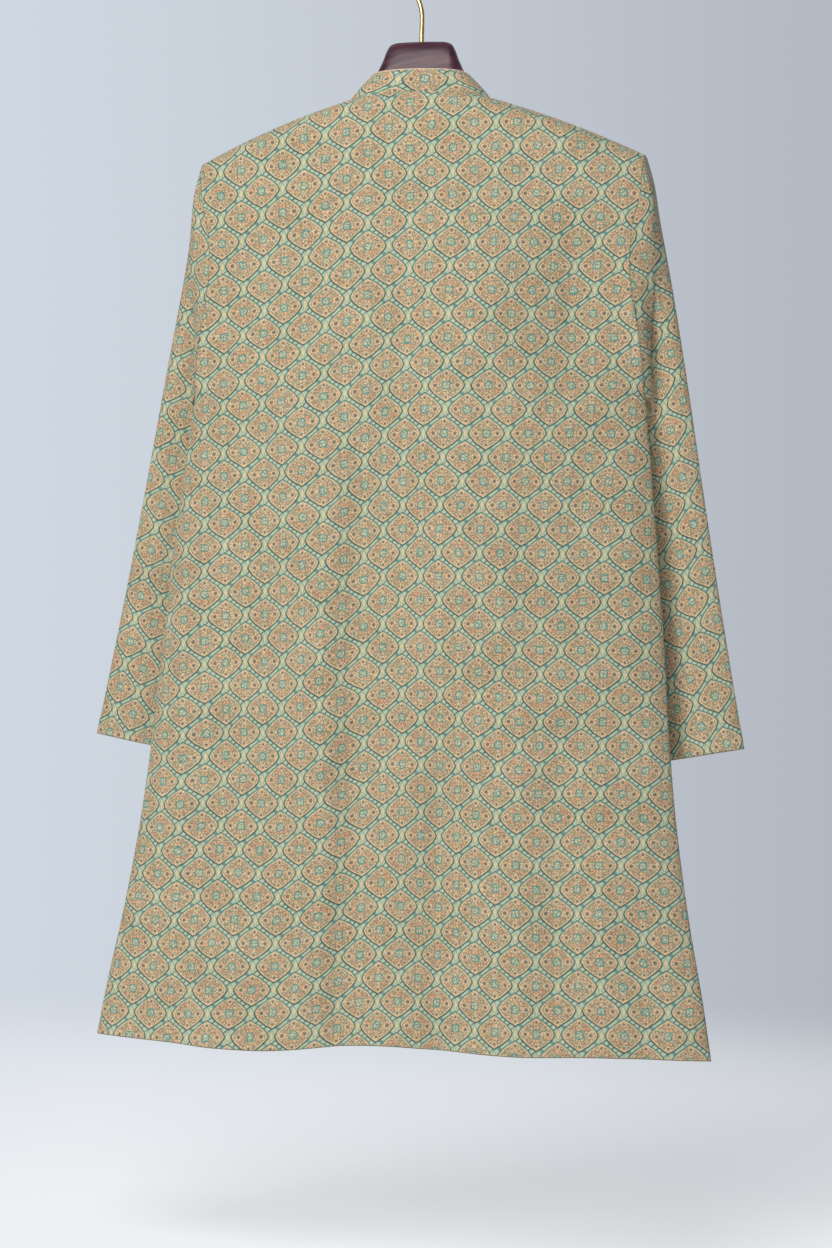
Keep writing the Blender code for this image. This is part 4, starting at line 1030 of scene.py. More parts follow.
def trellis_print():
    """Node group: a half-drop trellis of rounded medallions tied by ribbons."""
    known = bpy.data.node_groups.get("Trellis print")
    if known:
        return known
    inputs = [("Place", "NodeSocketVector", None),
              ("Column Spacing", "NodeSocketFloat", REPEAT_X / 1000.0),
              ("Row Repeat", "NodeSocketFloat", REPEAT_Y / 1000.0)]
    inputs += [(label, "NodeSocketColor", (0.5, 0.5, 0.5, 1.0)) for label, _ in PRINT_COLOURS]
    tree, given, result = new_group("Trellis print", inputs, [("Color", "NodeSocketColor")])
    colour = {label: given.outputs[label] for label, _ in PRINT_COLOURS}
    place = given.outputs["Place"]
    x_cloth, y_cloth, _ = axes(tree, place)
    wobble = noise(tree, place, WOBBLE_SCALE, 2.0, 0.6) - 0.5
    wobble_up = noise(tree, join(tree, y_cloth, x_cloth), WOBBLE_SCALE, 2.0, 0.6) - 0.5
    worn = noise(tree, place, WEAR_SCALE).rising(0.30, 0.52)

    # From here on everything is in millimetres of one repeat
    half_x, half_y = REPEAT_X / 2, REPEAT_Y / 2
    x_all = x_cloth / Field(tree, given.outputs["Column Spacing"]) * REPEAT_X + wobble * SHAKE
    y_all = y_cloth / Field(tree, given.outputs["Row Repeat"]) * REPEAT_Y + wobble_up * SHAKE
    x_first, y_first = x_all.wrapped(half_x), y_all.wrapped(half_y)
    x_second, y_second = (x_all - half_x).wrapped(half_x), (y_all - half_y).wrapped(half_y)

    def nearest(x_one, y_one, x_other, y_other):
        """The place measured from the nearer of two lattices that lie half a repeat apart."""
        other = (abs(x_one) / half_x + abs(y_one) / half_y).sum("GREATER_THAN", 1.0)
        return x_one + (x_other - x_one) * other, y_one + (y_other - y_one) * other

    x, y = nearest(x_first, y_first, x_second, y_second)
    ax, ay = abs(x), abs(y)

    # Medallion: signed distance to its outline, negative inside, with an uneven rim
    tall = ay / MEDALLION_HALF_Y
    edge = ax / MEDALLION_HALF_X + tall ** MEDALLION_POWER - 1.0
    edge = edge * MEDALLION_HALF_X / (tall * 3.0 + 1.0).root()
    shaken = join(tree, x_cloth + wobble * CELL_SHAKE, y_cloth + wobble_up * CELL_SHAKE)
    gap, chance, other = cells(tree, shaken, CELL_SCALE)
    rim = (edge + wobble_up * 2.4 + 1.8).rising(-0.5, 0.5).most(other.rising(0.55, 0.85) * 0.7)

    # Scribbled petals on the diagonals, and short strokes between them
    lines = gap.within(0.115, 0.06) * noise(tree, place, STROKE_SCALE).rising(0.32, 0.48)
    for petal in PETALS:
        out = ring_of(ax - petal.x, (ay - petal.y) * petal.flatness)
        lines = lines.most(abs(out - petal.size).within(PETAL_LINE, 0.25) * worn)
    lines = lines * (edge + wobble * 2.0 + 1.2).within(0.0, 0.7)

    # Rosette: an uneven, rather square ring round a pale middle
    turn = y.sum("ARCTAN2", x)
    out = ring_of(x, y) * ((turn * 4.0 + wobble * 9.0).sum("COSINE") * 0.06 + 1.0) + wobble * 2.6
    ring = abs(out - ROSETTE_RADIUS).within(0.70, 0.45) * (worn * 0.6 + 0.4)
    ring = ring.most(lines * out.within(4.2, 0.6))

    # Four dots with light rims
    dot = ring_of(ax - DOT_OUT, ay) + wobble_up * 1.4
    dot = dot.least(ring_of(ax, ay - DOT_UP) + 0.45)
    face = layered(
        tree, colour["Ground"],
        (colour["Blush"], chance.rising(0.40, 0.80) * 0.9),
        (colour["Pale Ribbon"], other.within(0.22, 0.08) * 0.6),
        (colour["Rim"], rim),
        (colour["Scribble"], lines * 0.9),
        (colour["Pale Ribbon"], out.within(4.0, 0.6) * 0.7),
        (colour["Rosette"], ring),
        (colour["Rim"], dot.within(DOT_RIM_RADIUS, 0.4) * 0.7),
        (colour["Dot"], dot.within(DOT_RADIUS, 0.45) * 0.85),
    )

    # Ribbons: pale with greener sides; thin bars cross them one way, thick blue ones the other
    rising_side = (x * y).sum("LESS_THAN", 0.0)
    cream = noise(tree, place, CREAM_SCALE).rising(0.45, 0.70) * 0.5
    some = noise(tree, place, BAR_SCALE, 1.0).rising(0.42, 0.52)
    along = ax * RIBBON_WAY[0] + ay * RIBBON_WAY[1] + 1.8
    thin = abs(along.wrapped(THIN_BAR_STEP)).within(0.85, 0.35) * (1.0 - rising_side)
    thick = (abs(abs(along) - THICK_BAR_OUT) + wobble * 2.4).within(1.7, 0.8) * rising_side * 0.85

    # Junctions: a slim pale diamond, and a small leaf over each medallion's top point
    jx, jy = nearest(x_second, y_first, x_first, y_second)
    jx = abs(jx)
    diamond = (jx / 2.4 + abs(jy) / 5.6).least(jx * 0.55 + abs(jy + 6.2) * 0.60)
    blue = blend(tree, colour["Bar"], colour["Rosette"], worn * 0.6)
    ribbon = layered(
        tree, colour["Pale Ribbon"],
        (colour["Neck"], cream),
        (colour["Deep Ribbon"], edge.within(1.25, 0.45) * 0.6 + rising_side * 0.25),
        (blue, thin.most(thick) * (some * 0.3 + 0.7)),
        (colour["Outline"], abs(diamond - 1.15).within(0.16, 0.12) * 0.55),
        (colour["Neck"], diamond.within(0.95, 0.12)),
        (colour["Outline"], ring_of(jx, jy + LEAF_UP).within(LEAF_RADIUS, 0.3) * 0.9),
    )

    # Outline, darkest on each medallion's lower sides
    upper = y.rising(-4.0, 7.0)
    line = blend(tree, colour["Outline"], colour["Rosette"], upper * 0.55)
    drawn = abs(edge - OUTLINE_OUT).within(OUTLINE_HALF, 0.34) * (1.0 - upper * 0.15)
    ink = layered(tree, ribbon, (face, edge.within(0.0, 0.35)), (line, drawn))
    tree.links.new(ink, result.inputs["Color"])
    return tree


def cotton_weave():
    """Node group: plain weave threads with slubs, as a height and a slight tint."""
    known = bpy.data.node_groups.get("Cotton weave")
    if known:
        return known
    tree, given, result = new_group("Cotton weave", [
        ("Place", "NodeSocketVector", None), ("Thread Pitch", "NodeSocketFloat", 0.00045)],
        [("Height", "NodeSocketFloat"), ("Tint", "NodeSocketFloat")])
    place = given.outputs["Place"]
    x, y, _ = axes(tree, place)
    pitch = Field(tree, given.outputs["Thread Pitch"])
    warp = (x / pitch * math.pi).sum("SINE")
    weft = (y / pitch * math.pi).sum("SINE")
    weave = warp * weft * 0.5 + 0.5
    along, across = SLUB_SCALES
    slub_across = noise(tree, join(tree, x * along, y * across), 1.0, 2.0, 0.6)
    slub_down = noise(tree, join(tree, x * across, y * along), 1.0, 2.0, 0.6)
    slubs = slub_across * 0.5 + slub_down * 0.5
    cloud = noise(tree, place, CLOUD_SCALE, 3.0, 0.6)
    tree.links.new((weave * 0.5 + slubs * 0.9).socket, result.inputs["Height"])
    tree.links.new((slubs * 0.55 + cloud * 0.45).socket, result.inputs["Tint"])
    return tree


def wood_grain():
    """Node group: long grain along X with fine pores, as a mask and a height."""
    known = bpy.data.node_groups.get("Wood grain")
    if known:
        return known
    tree, given, result = new_group("Wood grain", [("Place", "NodeSocketVector", None)],
                                    [("Grain", "NodeSocketFloat"), ("Pores", "NodeSocketFloat")])
    place = given.outputs["Place"]
    x, y, z = axes(tree, place)
    bend = noise(tree, place, BEND_SCALE)
    along, across = GRAIN_SCALES
    grain = noise(tree, join(tree, x * along, y * across, z * across + bend * 9.0), 1.0, 5.0, 0.62)
    along, across = PORE_SCALES
    pores = noise(tree, join(tree, x * along, y * across, z * across), 1.0)
    tree.links.new(grain.rising(0.28, 0.74).socket, result.inputs["Grain"])
    tree.links.new(pores.rising(0.52, 0.72).socket, result.inputs["Pores"])
    return tree


def new_material(name):
    """A material with its shader node, ready for its own nodes."""
    material = bpy.data.materials.new(name)
    material.use_nodes = True
    tree = material.node_tree
    shader = tree.nodes["Principled BSDF"]
    shader.location = (900.0, 300.0)
    tree.nodes["Material Output"].location = (1200.0, 300.0)
    return material, tree, shader


def add_group(tree, group, **values):
    """Place a node group in a material and set its inputs, with spaces for underscores."""
    node = tree.nodes.new("ShaderNodeGroup")
    node.node_tree = group
    place_node(tree, node)
    for name, value in values.items():
        set_socket(tree, node.inputs[name.replace("_", " ")], value)
    return node


def bump(tree, shader, height, strength, distance):
    """Feed a height to the shader's normal through a bump node."""
    node = tree.nodes.new("ShaderNodeBump")
    place_node(tree, node)
    node.inputs["Strength"].default_value = strength
    node.inputs["Distance"].default_value = distance
    set_socket(tree, node.inputs["Height"], height)
    tree.links.new(node.outputs["Normal"], shader.inputs["Normal"])


def finish_shader(tree, shader, colour, roughness, **uniform):
    """Link the colour and the roughness, and set uniform inputs on their own sockets."""
    tree.links.new(colour, shader.inputs["Base Color"])
    tree.links.new(roughness.socket, shader.inputs["Roughness"])
    for name, value in uniform.items():
        shader.inputs[name.replace("_", " ")].default_value = value


def cotton_material(name, paleness):
    """Printed cotton; paleness is how far the reverse side has lost the print."""
    known = bpy.data.materials.get(name)
    if known:
        return known
    settings = bpy.context.scene.kurta_cloth
    material, tree, shader = new_material(name)
    place = tree.nodes.new("ShaderNodeUVMap")
    place.uv_map = "cloth"
    pattern = add_group(tree, trellis_print(), Place=place.outputs[0],
                        Column_Spacing=settings.column_spacing, Row_Repeat=settings.row_repeat)
    for label, field in PRINT_COLOURS:
        pattern.inputs[label].default_value = rgba(getattr(settings, field))
    weave = add_group(tree, cotton_weave(), Place=place.outputs[0],
                      Thread_Pitch=settings.thread_pitch)
    shade = Field(tree, weave.outputs["Tint"]).rising(0.25, 0.75)
    colour = layered(tree, pattern.outputs["Color"], (rgba(settings.shade), (1.0 - shade) * 0.16),
                     (rgba(settings.highlight), shade * 0.10))
    if paleness:
        colour = blend(tree, colour, rgba(settings.reverse), paleness)
    finish_shader(tree, shader, colour, 0.90 - shade * 0.08, Specular_IOR_Level=0.30,
                  Sheen_Weight=0.10, Sheen_Roughness=0.45)
    bump(tree, shader, Field(tree, weave.outputs["Height"]), 0.35, 0.00025)
    return material


def plain_cotton(name, colour):
    """Unprinted cotton for threads and the narrow turned edges; on hems, slits and cuffs its darker
    colour is painted shade.
    """
    known = bpy.data.materials.get(name)
    if known:
        return known
    material, tree, shader = new_material(name)
    weave = add_group(tree, cotton_weave(), Place=coordinates(tree), Thread_Pitch=0.00045)
    shade = Field(tree, weave.outputs["Tint"]).rising(0.25, 0.75)
    mixed = blend(tree, rgba(colour, 0.72), rgba(colour), shade)
    finish_shader(tree, shader, mixed, 0.85 - shade * 0.1, Sheen_Weight=0.12)
    bump(tree, shader, Field(tree, weave.outputs["Height"]), 0.3, 0.0002)
    return material


def wood_material():
    """Dark stained wood under clear lacquer."""
    settings = bpy.context.scene.kurta_hanger
    material, tree, shader = new_material("lacquered dark wood")
    grain = add_group(tree, wood_grain(), Place=coordinates(tree))
    streak, pores = (Field(tree, grain.outputs[name]) for name in ("Grain", "Pores"))
    # Both wood colours carry a purple-blue cast that is painted reflection of the lacquer's bluish
    # sheen
    mixed = layered(tree, rgba(settings.wood_dark), (rgba(settings.wood_light), streak),
                    (rgba(PORE_COLOUR), pores * 0.45))
    finish_shader(tree, shader, mixed, 0.36 - streak * 0.08 + pores * 0.06,
                  Specular_IOR_Level=0.26, Coat_Weight=0.12, Coat_Roughness=0.30)
    bump(tree, shader, streak * 0.6 - pores * 0.4, 0.12, 0.0003)
    return material


def brass_material():
    """Drawn brass wire, a little dulled."""
    brass = bpy.context.scene.kurta_hanger.brass
    material, tree, shader = new_material("brass wire")
    place = coordinates(tree)
    dull = noise(tree, place, DULL_SCALE, 3.0, 0.6).rising(0.35, 0.7)
    mixed = blend(tree, rgba(brass), rgba(brass, 0.72), dull)
    finish_shader(tree, shader, mixed, 0.22 + dull * 0.16, Metallic=1.0)
    bump(tree, shader, noise(tree, place, WIRE_SCALE), 0.02, 0.0001)
    return material


def button_material():
    """Polished shell with cloudy bands."""
    shell = bpy.context.scene.kurta_cloth.button
    material, tree, shader = new_material("button shell")
    cloud = noise(tree, coordinates(tree), SHELL_SCALE, 4.0, 0.6).rising(0.3, 0.7)
    mixed = blend(tree, rgba(shell, 0.6), rgba(shell), cloud)
    finish_shader(tree, shader, mixed, 0.24 + cloud * 0.12, Coat_Weight=0.3)
    bump(tree, shader, cloud, 0.06, 0.0002)
    return material


# Settings

def colour_setting(name, description, default):
    """A colour that a user may change."""
    return bpy.props.FloatVectorProperty(name=name, description=description, default=default,
                                         subtype="COLOR", size=3, min=0.0, max=1.0)


def length_setting(name, description, default, low, high):
    """A length in metres that a user may change."""
    return bpy.props.FloatProperty(name=name, description=description, default=default, min=low,
                                   max=high, unit="LENGTH", precision=5)


def number_setting(name, description, default, low, high):
    """A plain number that a user may change."""
    return bpy.props.FloatProperty(name=name, description=description, default=default, min=low,
                                   max=high)


def angle_setting(name, description, degrees):
    """An angle that a user may change."""
    return bpy.props.FloatProperty(name=name, description=description,
                                   default=math.radians(degrees), subtype="ANGLE")


class KurtaCloth(bpy.types.PropertyGroup):
    """Cloth, print and sewing."""

    thickness: length_setting("Cloth thickness", "Thickness of the cotton", 0.0009, 0.0002, 0.002)
    hem_depth: length_setting("Hem depth", "Height of the turned hem at the lower edge",
                              0.020, 0.005, 0.05)
    slit_turn: length_setting("Slit turning", "Width of the turned edge beside each slit",
                              0.010, 0.004, 0.03)
    turned_rise: length_setting("Turned rise", "How far a turned edge stands out",
                                0.0004, 0.0, 0.001)
    seam_sink: length_setting("Seam sink", "How far the cloth dips at a shoulder seam",
                              0.0006, 0.0, 0.002)
    thread_radius: length_setting("Thread radius", "Radius of the sewing thread",
                                  0.00020, 0.0001, 0.001)
    stitch_length: length_setting("Stitch length", "Length of one stitch", 0.0026, 0.001, 0.006)
    stitch_gap: length_setting("Stitch gap", "Gap between two stitches", 0.0009, 0.0002, 0.003)
    thread_pitch: length_setting("Thread pitch", "Distance between threads of the weave",
                                 0.00045, 0.0002, 0.002)
    column_spacing: length_setting("Column spacing", "Distance between columns of the print",
                                   0.044, 0.01, 0.2)
    row_repeat: length_setting("Row repeat", "Height of one repeat of the print", 0.049, 0.01, 0.2)
    ground: colour_setting("Ground", "Peach ground of the medallions", (0.68, 0.42, 0.222))
    rim: colour_setting("Rim", "Light rim inside each outline", (0.70, 0.52, 0.300))
    blush: colour_setting("Blush", "Salmon blotches on the ground", (0.71, 0.33, 0.175))
    scribble: colour_setting("Scribble", "Olive lines of the petals", (0.110, 0.145, 0.098))
    outline: colour_setting("Outline", "Dark teal outline", (0.007, 0.066, 0.062))
    pale_ribbon: colour_setting("Pale ribbon", "Cream green ribbons", (0.47, 0.54, 0.37))
    deep_ribbon: colour_setting("Deep ribbon", "Green ribbons", (0.26, 0.50, 0.37))
    bar: colour_setting("Bar", "Blue bars on the ribbons", (0.008, 0.150, 0.225))
    neck: colour_setting("Neck", "Cream diamonds between medallions", (0.60, 0.55, 0.32))
    dot: colour_setting("Dot", "Slate dots", (0.040, 0.065, 0.078))
    rosette: colour_setting("Rosette", "Teal strokes at each centre", (0.022, 0.225, 0.200))
    shade: colour_setting("Shade", "Shade between the threads", (0.20, 0.12, 0.06))
    highlight: colour_setting("Highlight", "Light on the threads", (0.95, 0.85, 0.68))
    reverse: colour_setting("Reverse", "Colour that shows through on the reverse",
                            (0.80, 0.66, 0.47))
    thread: colour_setting("Thread", "Sewing thread", (0.55, 0.46, 0.28))
    edge: colour_setting("Collar edge", "Plain turned edge along the collar's top",
                         (0.80, 0.56, 0.44))
    # Hem edge: painted shade, a darker band standing for the shadow line along the turned hems,
    # slits and cuffs, not wear
    hem_edge: colour_setting("Hem edge", "Worn darker edge of the hems and slits",
                             (0.20, 0.16, 0.085))
    button: colour_setting("Button", "Shell of the buttons", (0.62, 0.50, 0.32))


class KurtaHanger(bpy.types.PropertyGroup):
    """Wood and wire of the hanger."""

    # The wood colours are partly painted reflection: their purple-blue cast stands in for the
    # bluish sheen of the lacquer; the streaks between them are the wood's own grain
    wood_dark: colour_setting("Dark wood", "Darkest stain in the grain", (0.026, 0.0105, 0.0190))
    wood_light: colour_setting("Light wood", "Redder stain in the grain", (0.120, 0.042, 0.062))
    brass: colour_setting("Brass", "Wire of the hook", (0.72, 0.50, 0.22))


class KurtaStage(bpy.types.PropertyGroup):
    """Camera, lights and floor."""

    distance: length_setting("Camera distance", "From the camera to its target", 2.6, 0.5, 10.0)
    azimuth: angle_setting("Azimuth", "Camera angle round the object", 10.95)
    pitch: angle_setting("Pitch", "Camera angle above the target", -2.5)
    roll: angle_setting("Roll", "Camera turn about its own axis", 1.39)
    target: bpy.props.FloatVectorProperty(
        name="Target", description="Point that the camera looks at",
        default=(0.0089, 0.0, -0.6882), subtype="TRANSLATION", size=3)
    lens: number_setting("Lens", "Focal length in millimetres", 74.08, 10.0, 300.0)
    floor_down: length_setting("Floor depth", "Distance of the floor below the hook",
                               1.34, 1.13, 3.0)
    floor: colour_setting("Floor", "Plain pale floor", (0.90, 0.92, 0.94))
    air: colour_setting("Surroundings", "Pale light all round", (0.80, 0.87, 0.97))
    air_right: colour_setting("Surroundings, right", "Light from the right of the back's view",
                              (0.52, 0.555, 0.61))
    air_strength: number_setting("Surround strength", "Strength of the light all round",
                                 0.80, 0.0, 5.0)
    air_dimming: number_setting("Surround dimming", "Light on the back's side, as a part of the "
                                "light behind the garment", 0.13, 0.0, 1.0)
    key_power: number_setting("Key power", "Power of the main light in watts", 100.0, 0.0, 5000.0)
    fill_power: number_setting("Fill power", "Power of the second light in watts", 5.0, 0.0, 1000.0)
    top_power: number_setting("Top power", "Power of the raised light in watts", 33.0, 0.0, 1000.0)
    front_power: number_setting("Front power", "Power of the front's light in watts",
                                80.0, 0.0, 1000.0)


# Sewn pieces and buttons

# The hem edge's darker cotton is painted shade along the turned hems, slits and cuffs
HEM_EDGE_SHADE = ("hem edge cotton", "hem_edge")
COLLAR_EDGE = ("collar edge cotton", "edge")


def add_cloth(node, grids, cut, rests_on, edge=None, **wall):
    """Link a sewn piece made of outer points, inner points and cloth places; its flat cut is not
    used.

    Where an edge is given, its cotton covers the rims and the last rows.
    """
    materials = [cotton_material("printed cotton", 0.0),
                 cotton_material("printed cotton reverse", 0.42)]
    if edge:
        name, field = edge
        colour = getattr(bpy.context.scene.kurta_cloth, field)
        materials.append(plain_cotton(name, tuple(colour)))
        wall.update(edge_look=2, edge_row=len(grids[0]) - 2)
    mesh = wall_mesh(f"{node}_cloth", *grids, **wall)
    piece = add_piece(f"{node}_cloth", mesh, materials, (node,))


def with_normals(points, normals):
    """Points with their normals beside them, as the sewing wants them."""
    points = np.asarray(points)
    return np.concatenate([points, np.broadcast_to(normals, points.shape)], axis=-1)


def add_threads(name, mesh):
    """Link a mesh of sewing thread, in the setting's colour."""
    thread = plain_cotton("sewing thread", tuple(bpy.context.scene.kurta_cloth.thread))
    add_piece(name, mesh, [thread])


def sew(name, lines, settings):
    """Even stitches along lines of points, each point with its normal beside it."""
    step = settings.stitch_length + settings.stitch_gap
    bars = []
    for line in lines:
        bars += zip(*along_line(np.asarray(line), step, settings.stitch_length))
    add_threads(name, thread_bars(name, bars, settings.thread_radius))


class BuildBody(bpy.types.Operator):
    """Build the back and front panels with their turned hems and slit edges"""

    bl_idname = "kurta.build_body"
    bl_label = "Back and Front"

    def execute(self, context):
        # Settings may have changed since the last build
        garment.cache_clear()
        panels, _ = garment()
        for name, face in (("back", BACK), ("front", FRONT)):
            panel = panels[face]
            keep = np.ones((panel.outer.shape[0] - 1, panel.outer.shape[1] - 1), dtype=bool)
            if face == FRONT:
                middle = panel.outer.shape[1] // 2
                cut = panel.downs[1:, middle] < NOTCH_END_DOWN
                keep[cut, middle - 2:middle + 2] = False
            grids = (panel.outer, panel.inner, panel.places)
            add_cloth(name, grids, CUTS[name], ["hanger_arms"], HEM_EDGE_SHADE, keep=keep)
        return {"FINISHED"}


def sleeve_edge(rows, share):
    """A point of the sleeve's outer or inner edge, on the +X side."""
    return np.array([read_table(rows, "out", share), read_table(rows, "y", share),
                     -read_table(rows, "down", share)])


def inner_edge_rows():
    """The inner edge's rows, ended square across the cuff from the outer edge."""
    outer_end, before = SLEEVE_OUTER[-1], SLEEVE_OUTER[-2]
    tilt = math.atan2(outer_end.out - before.out, outer_end.down - before.down)
    cuff = SleeveStation(1.0, outer_end.out - CUFF_FLAT * math.cos(tilt),
                         outer_end.down + CUFF_FLAT * math.sin(tilt), CUFF_INNER_Y)
    return SLEEVE_INNER + (cuff,)


def sleeve_ring(x_sign, share, loop):
    """One ring of a sleeve, with as many points as the armhole has."""
    count = len(loop)
    half_count = count // 2
    outer, inner = sleeve_edge(SLEEVE_OUTER, share), sleeve_edge(inner_edge_rows(), share)
    leave = 1.0 - ease(0.0, ARMHOLE_FADE, share)
    at_armhole = 1.0 - ease(0.0, ARMHOLE_DEPTH_FADE, share)
    depth = read_table(SLEEVE_DEPTH, "half_depth", share)
    index = np.arange(half_count + 1)
    back, front = loop[index], loop[-index % count]
    even = (1.0 - np.cos(math.pi * index / half_count)) / 2
    on_seam = (loop[0][2] - back[:, 2]) / (loop[0][2] - loop[half_count][2])
    across = mix(even, on_seam, at_armhole)
    on_loop = np.stack([np.abs(back[:, 0]), (back[:, 1] + front[:, 1]) / 2], axis=1)
    straight = mix(np.abs(loop[0][:2]), np.abs(loop[half_count][:2]), across[:, None])
    middle = mix(outer, inner, across[:, None])
    middle[:, :2] += (on_loop - straight) * leave
    rounded = 2.0 * depth * np.sqrt(np.maximum(across * (1.0 - across), 0.0))
    half = mix(rounded, (front[:, 1] - back[:, 1]) / 2, at_armhole)
    lift = fold_height(SLEEVE_FOLDS, across, share, 0.0)
    hidden = middle.copy()
    hidden[:, 0] *= x_sign
    hidden[:, 1] -= half + lift
    if share > SLEEVE_FREE_SHARE:
        down = -hidden[:, 2]
        width = read_table(BODY, "half_width", down)
        beyond = np.abs(hidden[:, 0]) - width
        over = body_y(FRONT, x_sign, np.minimum(beyond / width + 1.0, 1.0), down) + SLEEVE_CLEARANCE
        hidden[:, 1] = np.maximum(hidden[:, 1], np.where(beyond > 0.0, -1.0, over))
        # A soft valley beside the body's edge, where the sleeve turns to the front
        fall = 1.0 - ease(SLEEVE_VALLEY_START, SLEEVE_VALLEY_WIDTH, beyond)
        fall = fall * ease(UNDERARM_DOWN - SLEEVE_VALLEY_GROWS, UNDERARM_DOWN, down)
        fall = fall * ease(SLEEVE_FREE_SHARE, ARMHOLE_FADE, share)
        valley = np.maximum(SLEEVE_VALLEY_Y, over)
        hidden[:, 1] = np.maximum(hidden[:, 1], mix(hidden[:, 1], valley, fall))
    shown = middle.copy()
    shown[:, 0] *= x_sign
    shown[:, 1] += half + lift
    hollow = SLEEVE_HOLLOW * (1.0 - ease(0.0, 1.0, abs(across - 0.5) * 2))
    shown[:, 1] = np.maximum(shown[:, 1], hidden[:, 1] + hollow)
    shown[0], shown[-1] = hidden[0], hidden[-1]
    ring = np.zeros((count, 3))
    ring[-index % count] = shown
    ring[index] = hidden
    return ring


def sleeve_places(rings, x_sign):
    """Where each point of a sleeve lies on the flat cloth, square to the sleeve's own length."""
    cut = SLEEVE_CUTS[x_sign]
    lean, rise = math.radians(cut.lean) * x_sign, math.tan(math.radians(cut.row_rise))
    rings = np.concatenate([rings, rings[:, :1]], axis=1)
    across = rings @ np.array((math.cos(lean), 0.0, math.sin(lean)))
    up = rings @ np.array((-math.sin(lean), 0.0, math.cos(lean)))
    steps = np.hypot(np.diff(across, axis=1), np.diff(rings[..., 1], axis=1))
    round_it = np.concatenate([np.zeros((len(rings), 1)), np.cumsum(steps, axis=1)], axis=1)
    quarter = rings.shape[1] * 3 // 4
    start = slice(quarter, quarter + 1)
    round_it = across[:, start] - x_sign * (round_it - round_it[:, start])
    return np.stack([(round_it - cut.x) / cut.spread, up - round_it * rise - cut.up], axis=-1)


def sleeve_shares(settings):
    """How far along the sleeve each ring lies, with the turned cuff's rings at the end."""
    shares = np.linspace(0.0, 1.0, SLEEVE_RINGS) ** SLEEVE_CROWDING
    shares = mix(0.0, 1.0 - settings.hem_depth * CUFF_REACH, shares)
    cuff = 1.0 - settings.hem_depth * np.array(CUFF_STEPS) / SLEEVE_LENGTH
    before = shares[shares < cuff[0] - CUFF_CLEAR_SHARE]
    return np.concatenate([before, [cuff[0] - CUFF_EXTRA_SHARE], cuff]), cuff[0]


def sleeve_walls(settings, x_sign, loop, loop_inner):
    """Outer points, inner points and normals of a sleeve, whose columns start at its seam."""
    shares, cuff = sleeve_shares(settings)
    half = len(loop) // 2
    gap = np.array((x_sign * SEAM_GAP, 0.0, 0.0))
    outer = np.array([loop + gap] + [sleeve_ring(x_sign, share, loop) for share in shares[1:]])
    normals = grid_normals(outer, closed=True)
    if ((outer - outer.mean(axis=1, keepdims=True)) * normals).sum() < 0:
        normals = -normals
    edge = unit(outer[-1, 0] - outer[-1, half])
    axis = unit(np.array((-edge[2] * x_sign, 0.0, edge[0] * x_sign)))
    last = normals[-1] - (normals[-1] @ axis)[:, None] * axis
    normals[-1] = last / np.linalg.norm(last, axis=1, keepdims=True)
    turned = ease(cuff - EDGE_SOFTNESS, cuff + EDGE_SOFTNESS, shares) * settings.turned_rise
    turned[-1] = 0.0
    outer += normals * turned[:, None, None]
    inner = outer - normals * settings.thickness
    inner[0] = loop_inner + gap
    return [np.roll(grid, -half, axis=1) for grid in (outer, inner, normals)]


class BuildSleeves(bpy.types.Operator):
    """Build both sleeves from their armholes to their turned cuffs"""

    bl_idname = "kurta.build_sleeves"
    bl_label = "Sleeves"

    def execute(self, context):
        settings = context.scene.kurta_cloth
        _, loops = garment()
        for name, x_sign, (loop, loop_inner) in (("left", -1, loops[0]), ("right", 1, loops[1])):
            outer, inner, normals = sleeve_walls(settings, x_sign, loop, loop_inner)
            grids = (outer, inner, sleeve_places(outer, x_sign))
            add_cloth(f"sleeve_{name}", grids, CUTS["sleeve"], ["back_cloth", "front_cloth"],
                      HEM_EDGE_SHADE, closed=True)
            row = -len(CUFF_STEPS)
            ring = with_normals(outer[row], normals[row])
            sew(f"cuff_{name}_stitches", [np.concatenate([ring, ring[:1]])], settings)
        return {"FINISHED"}


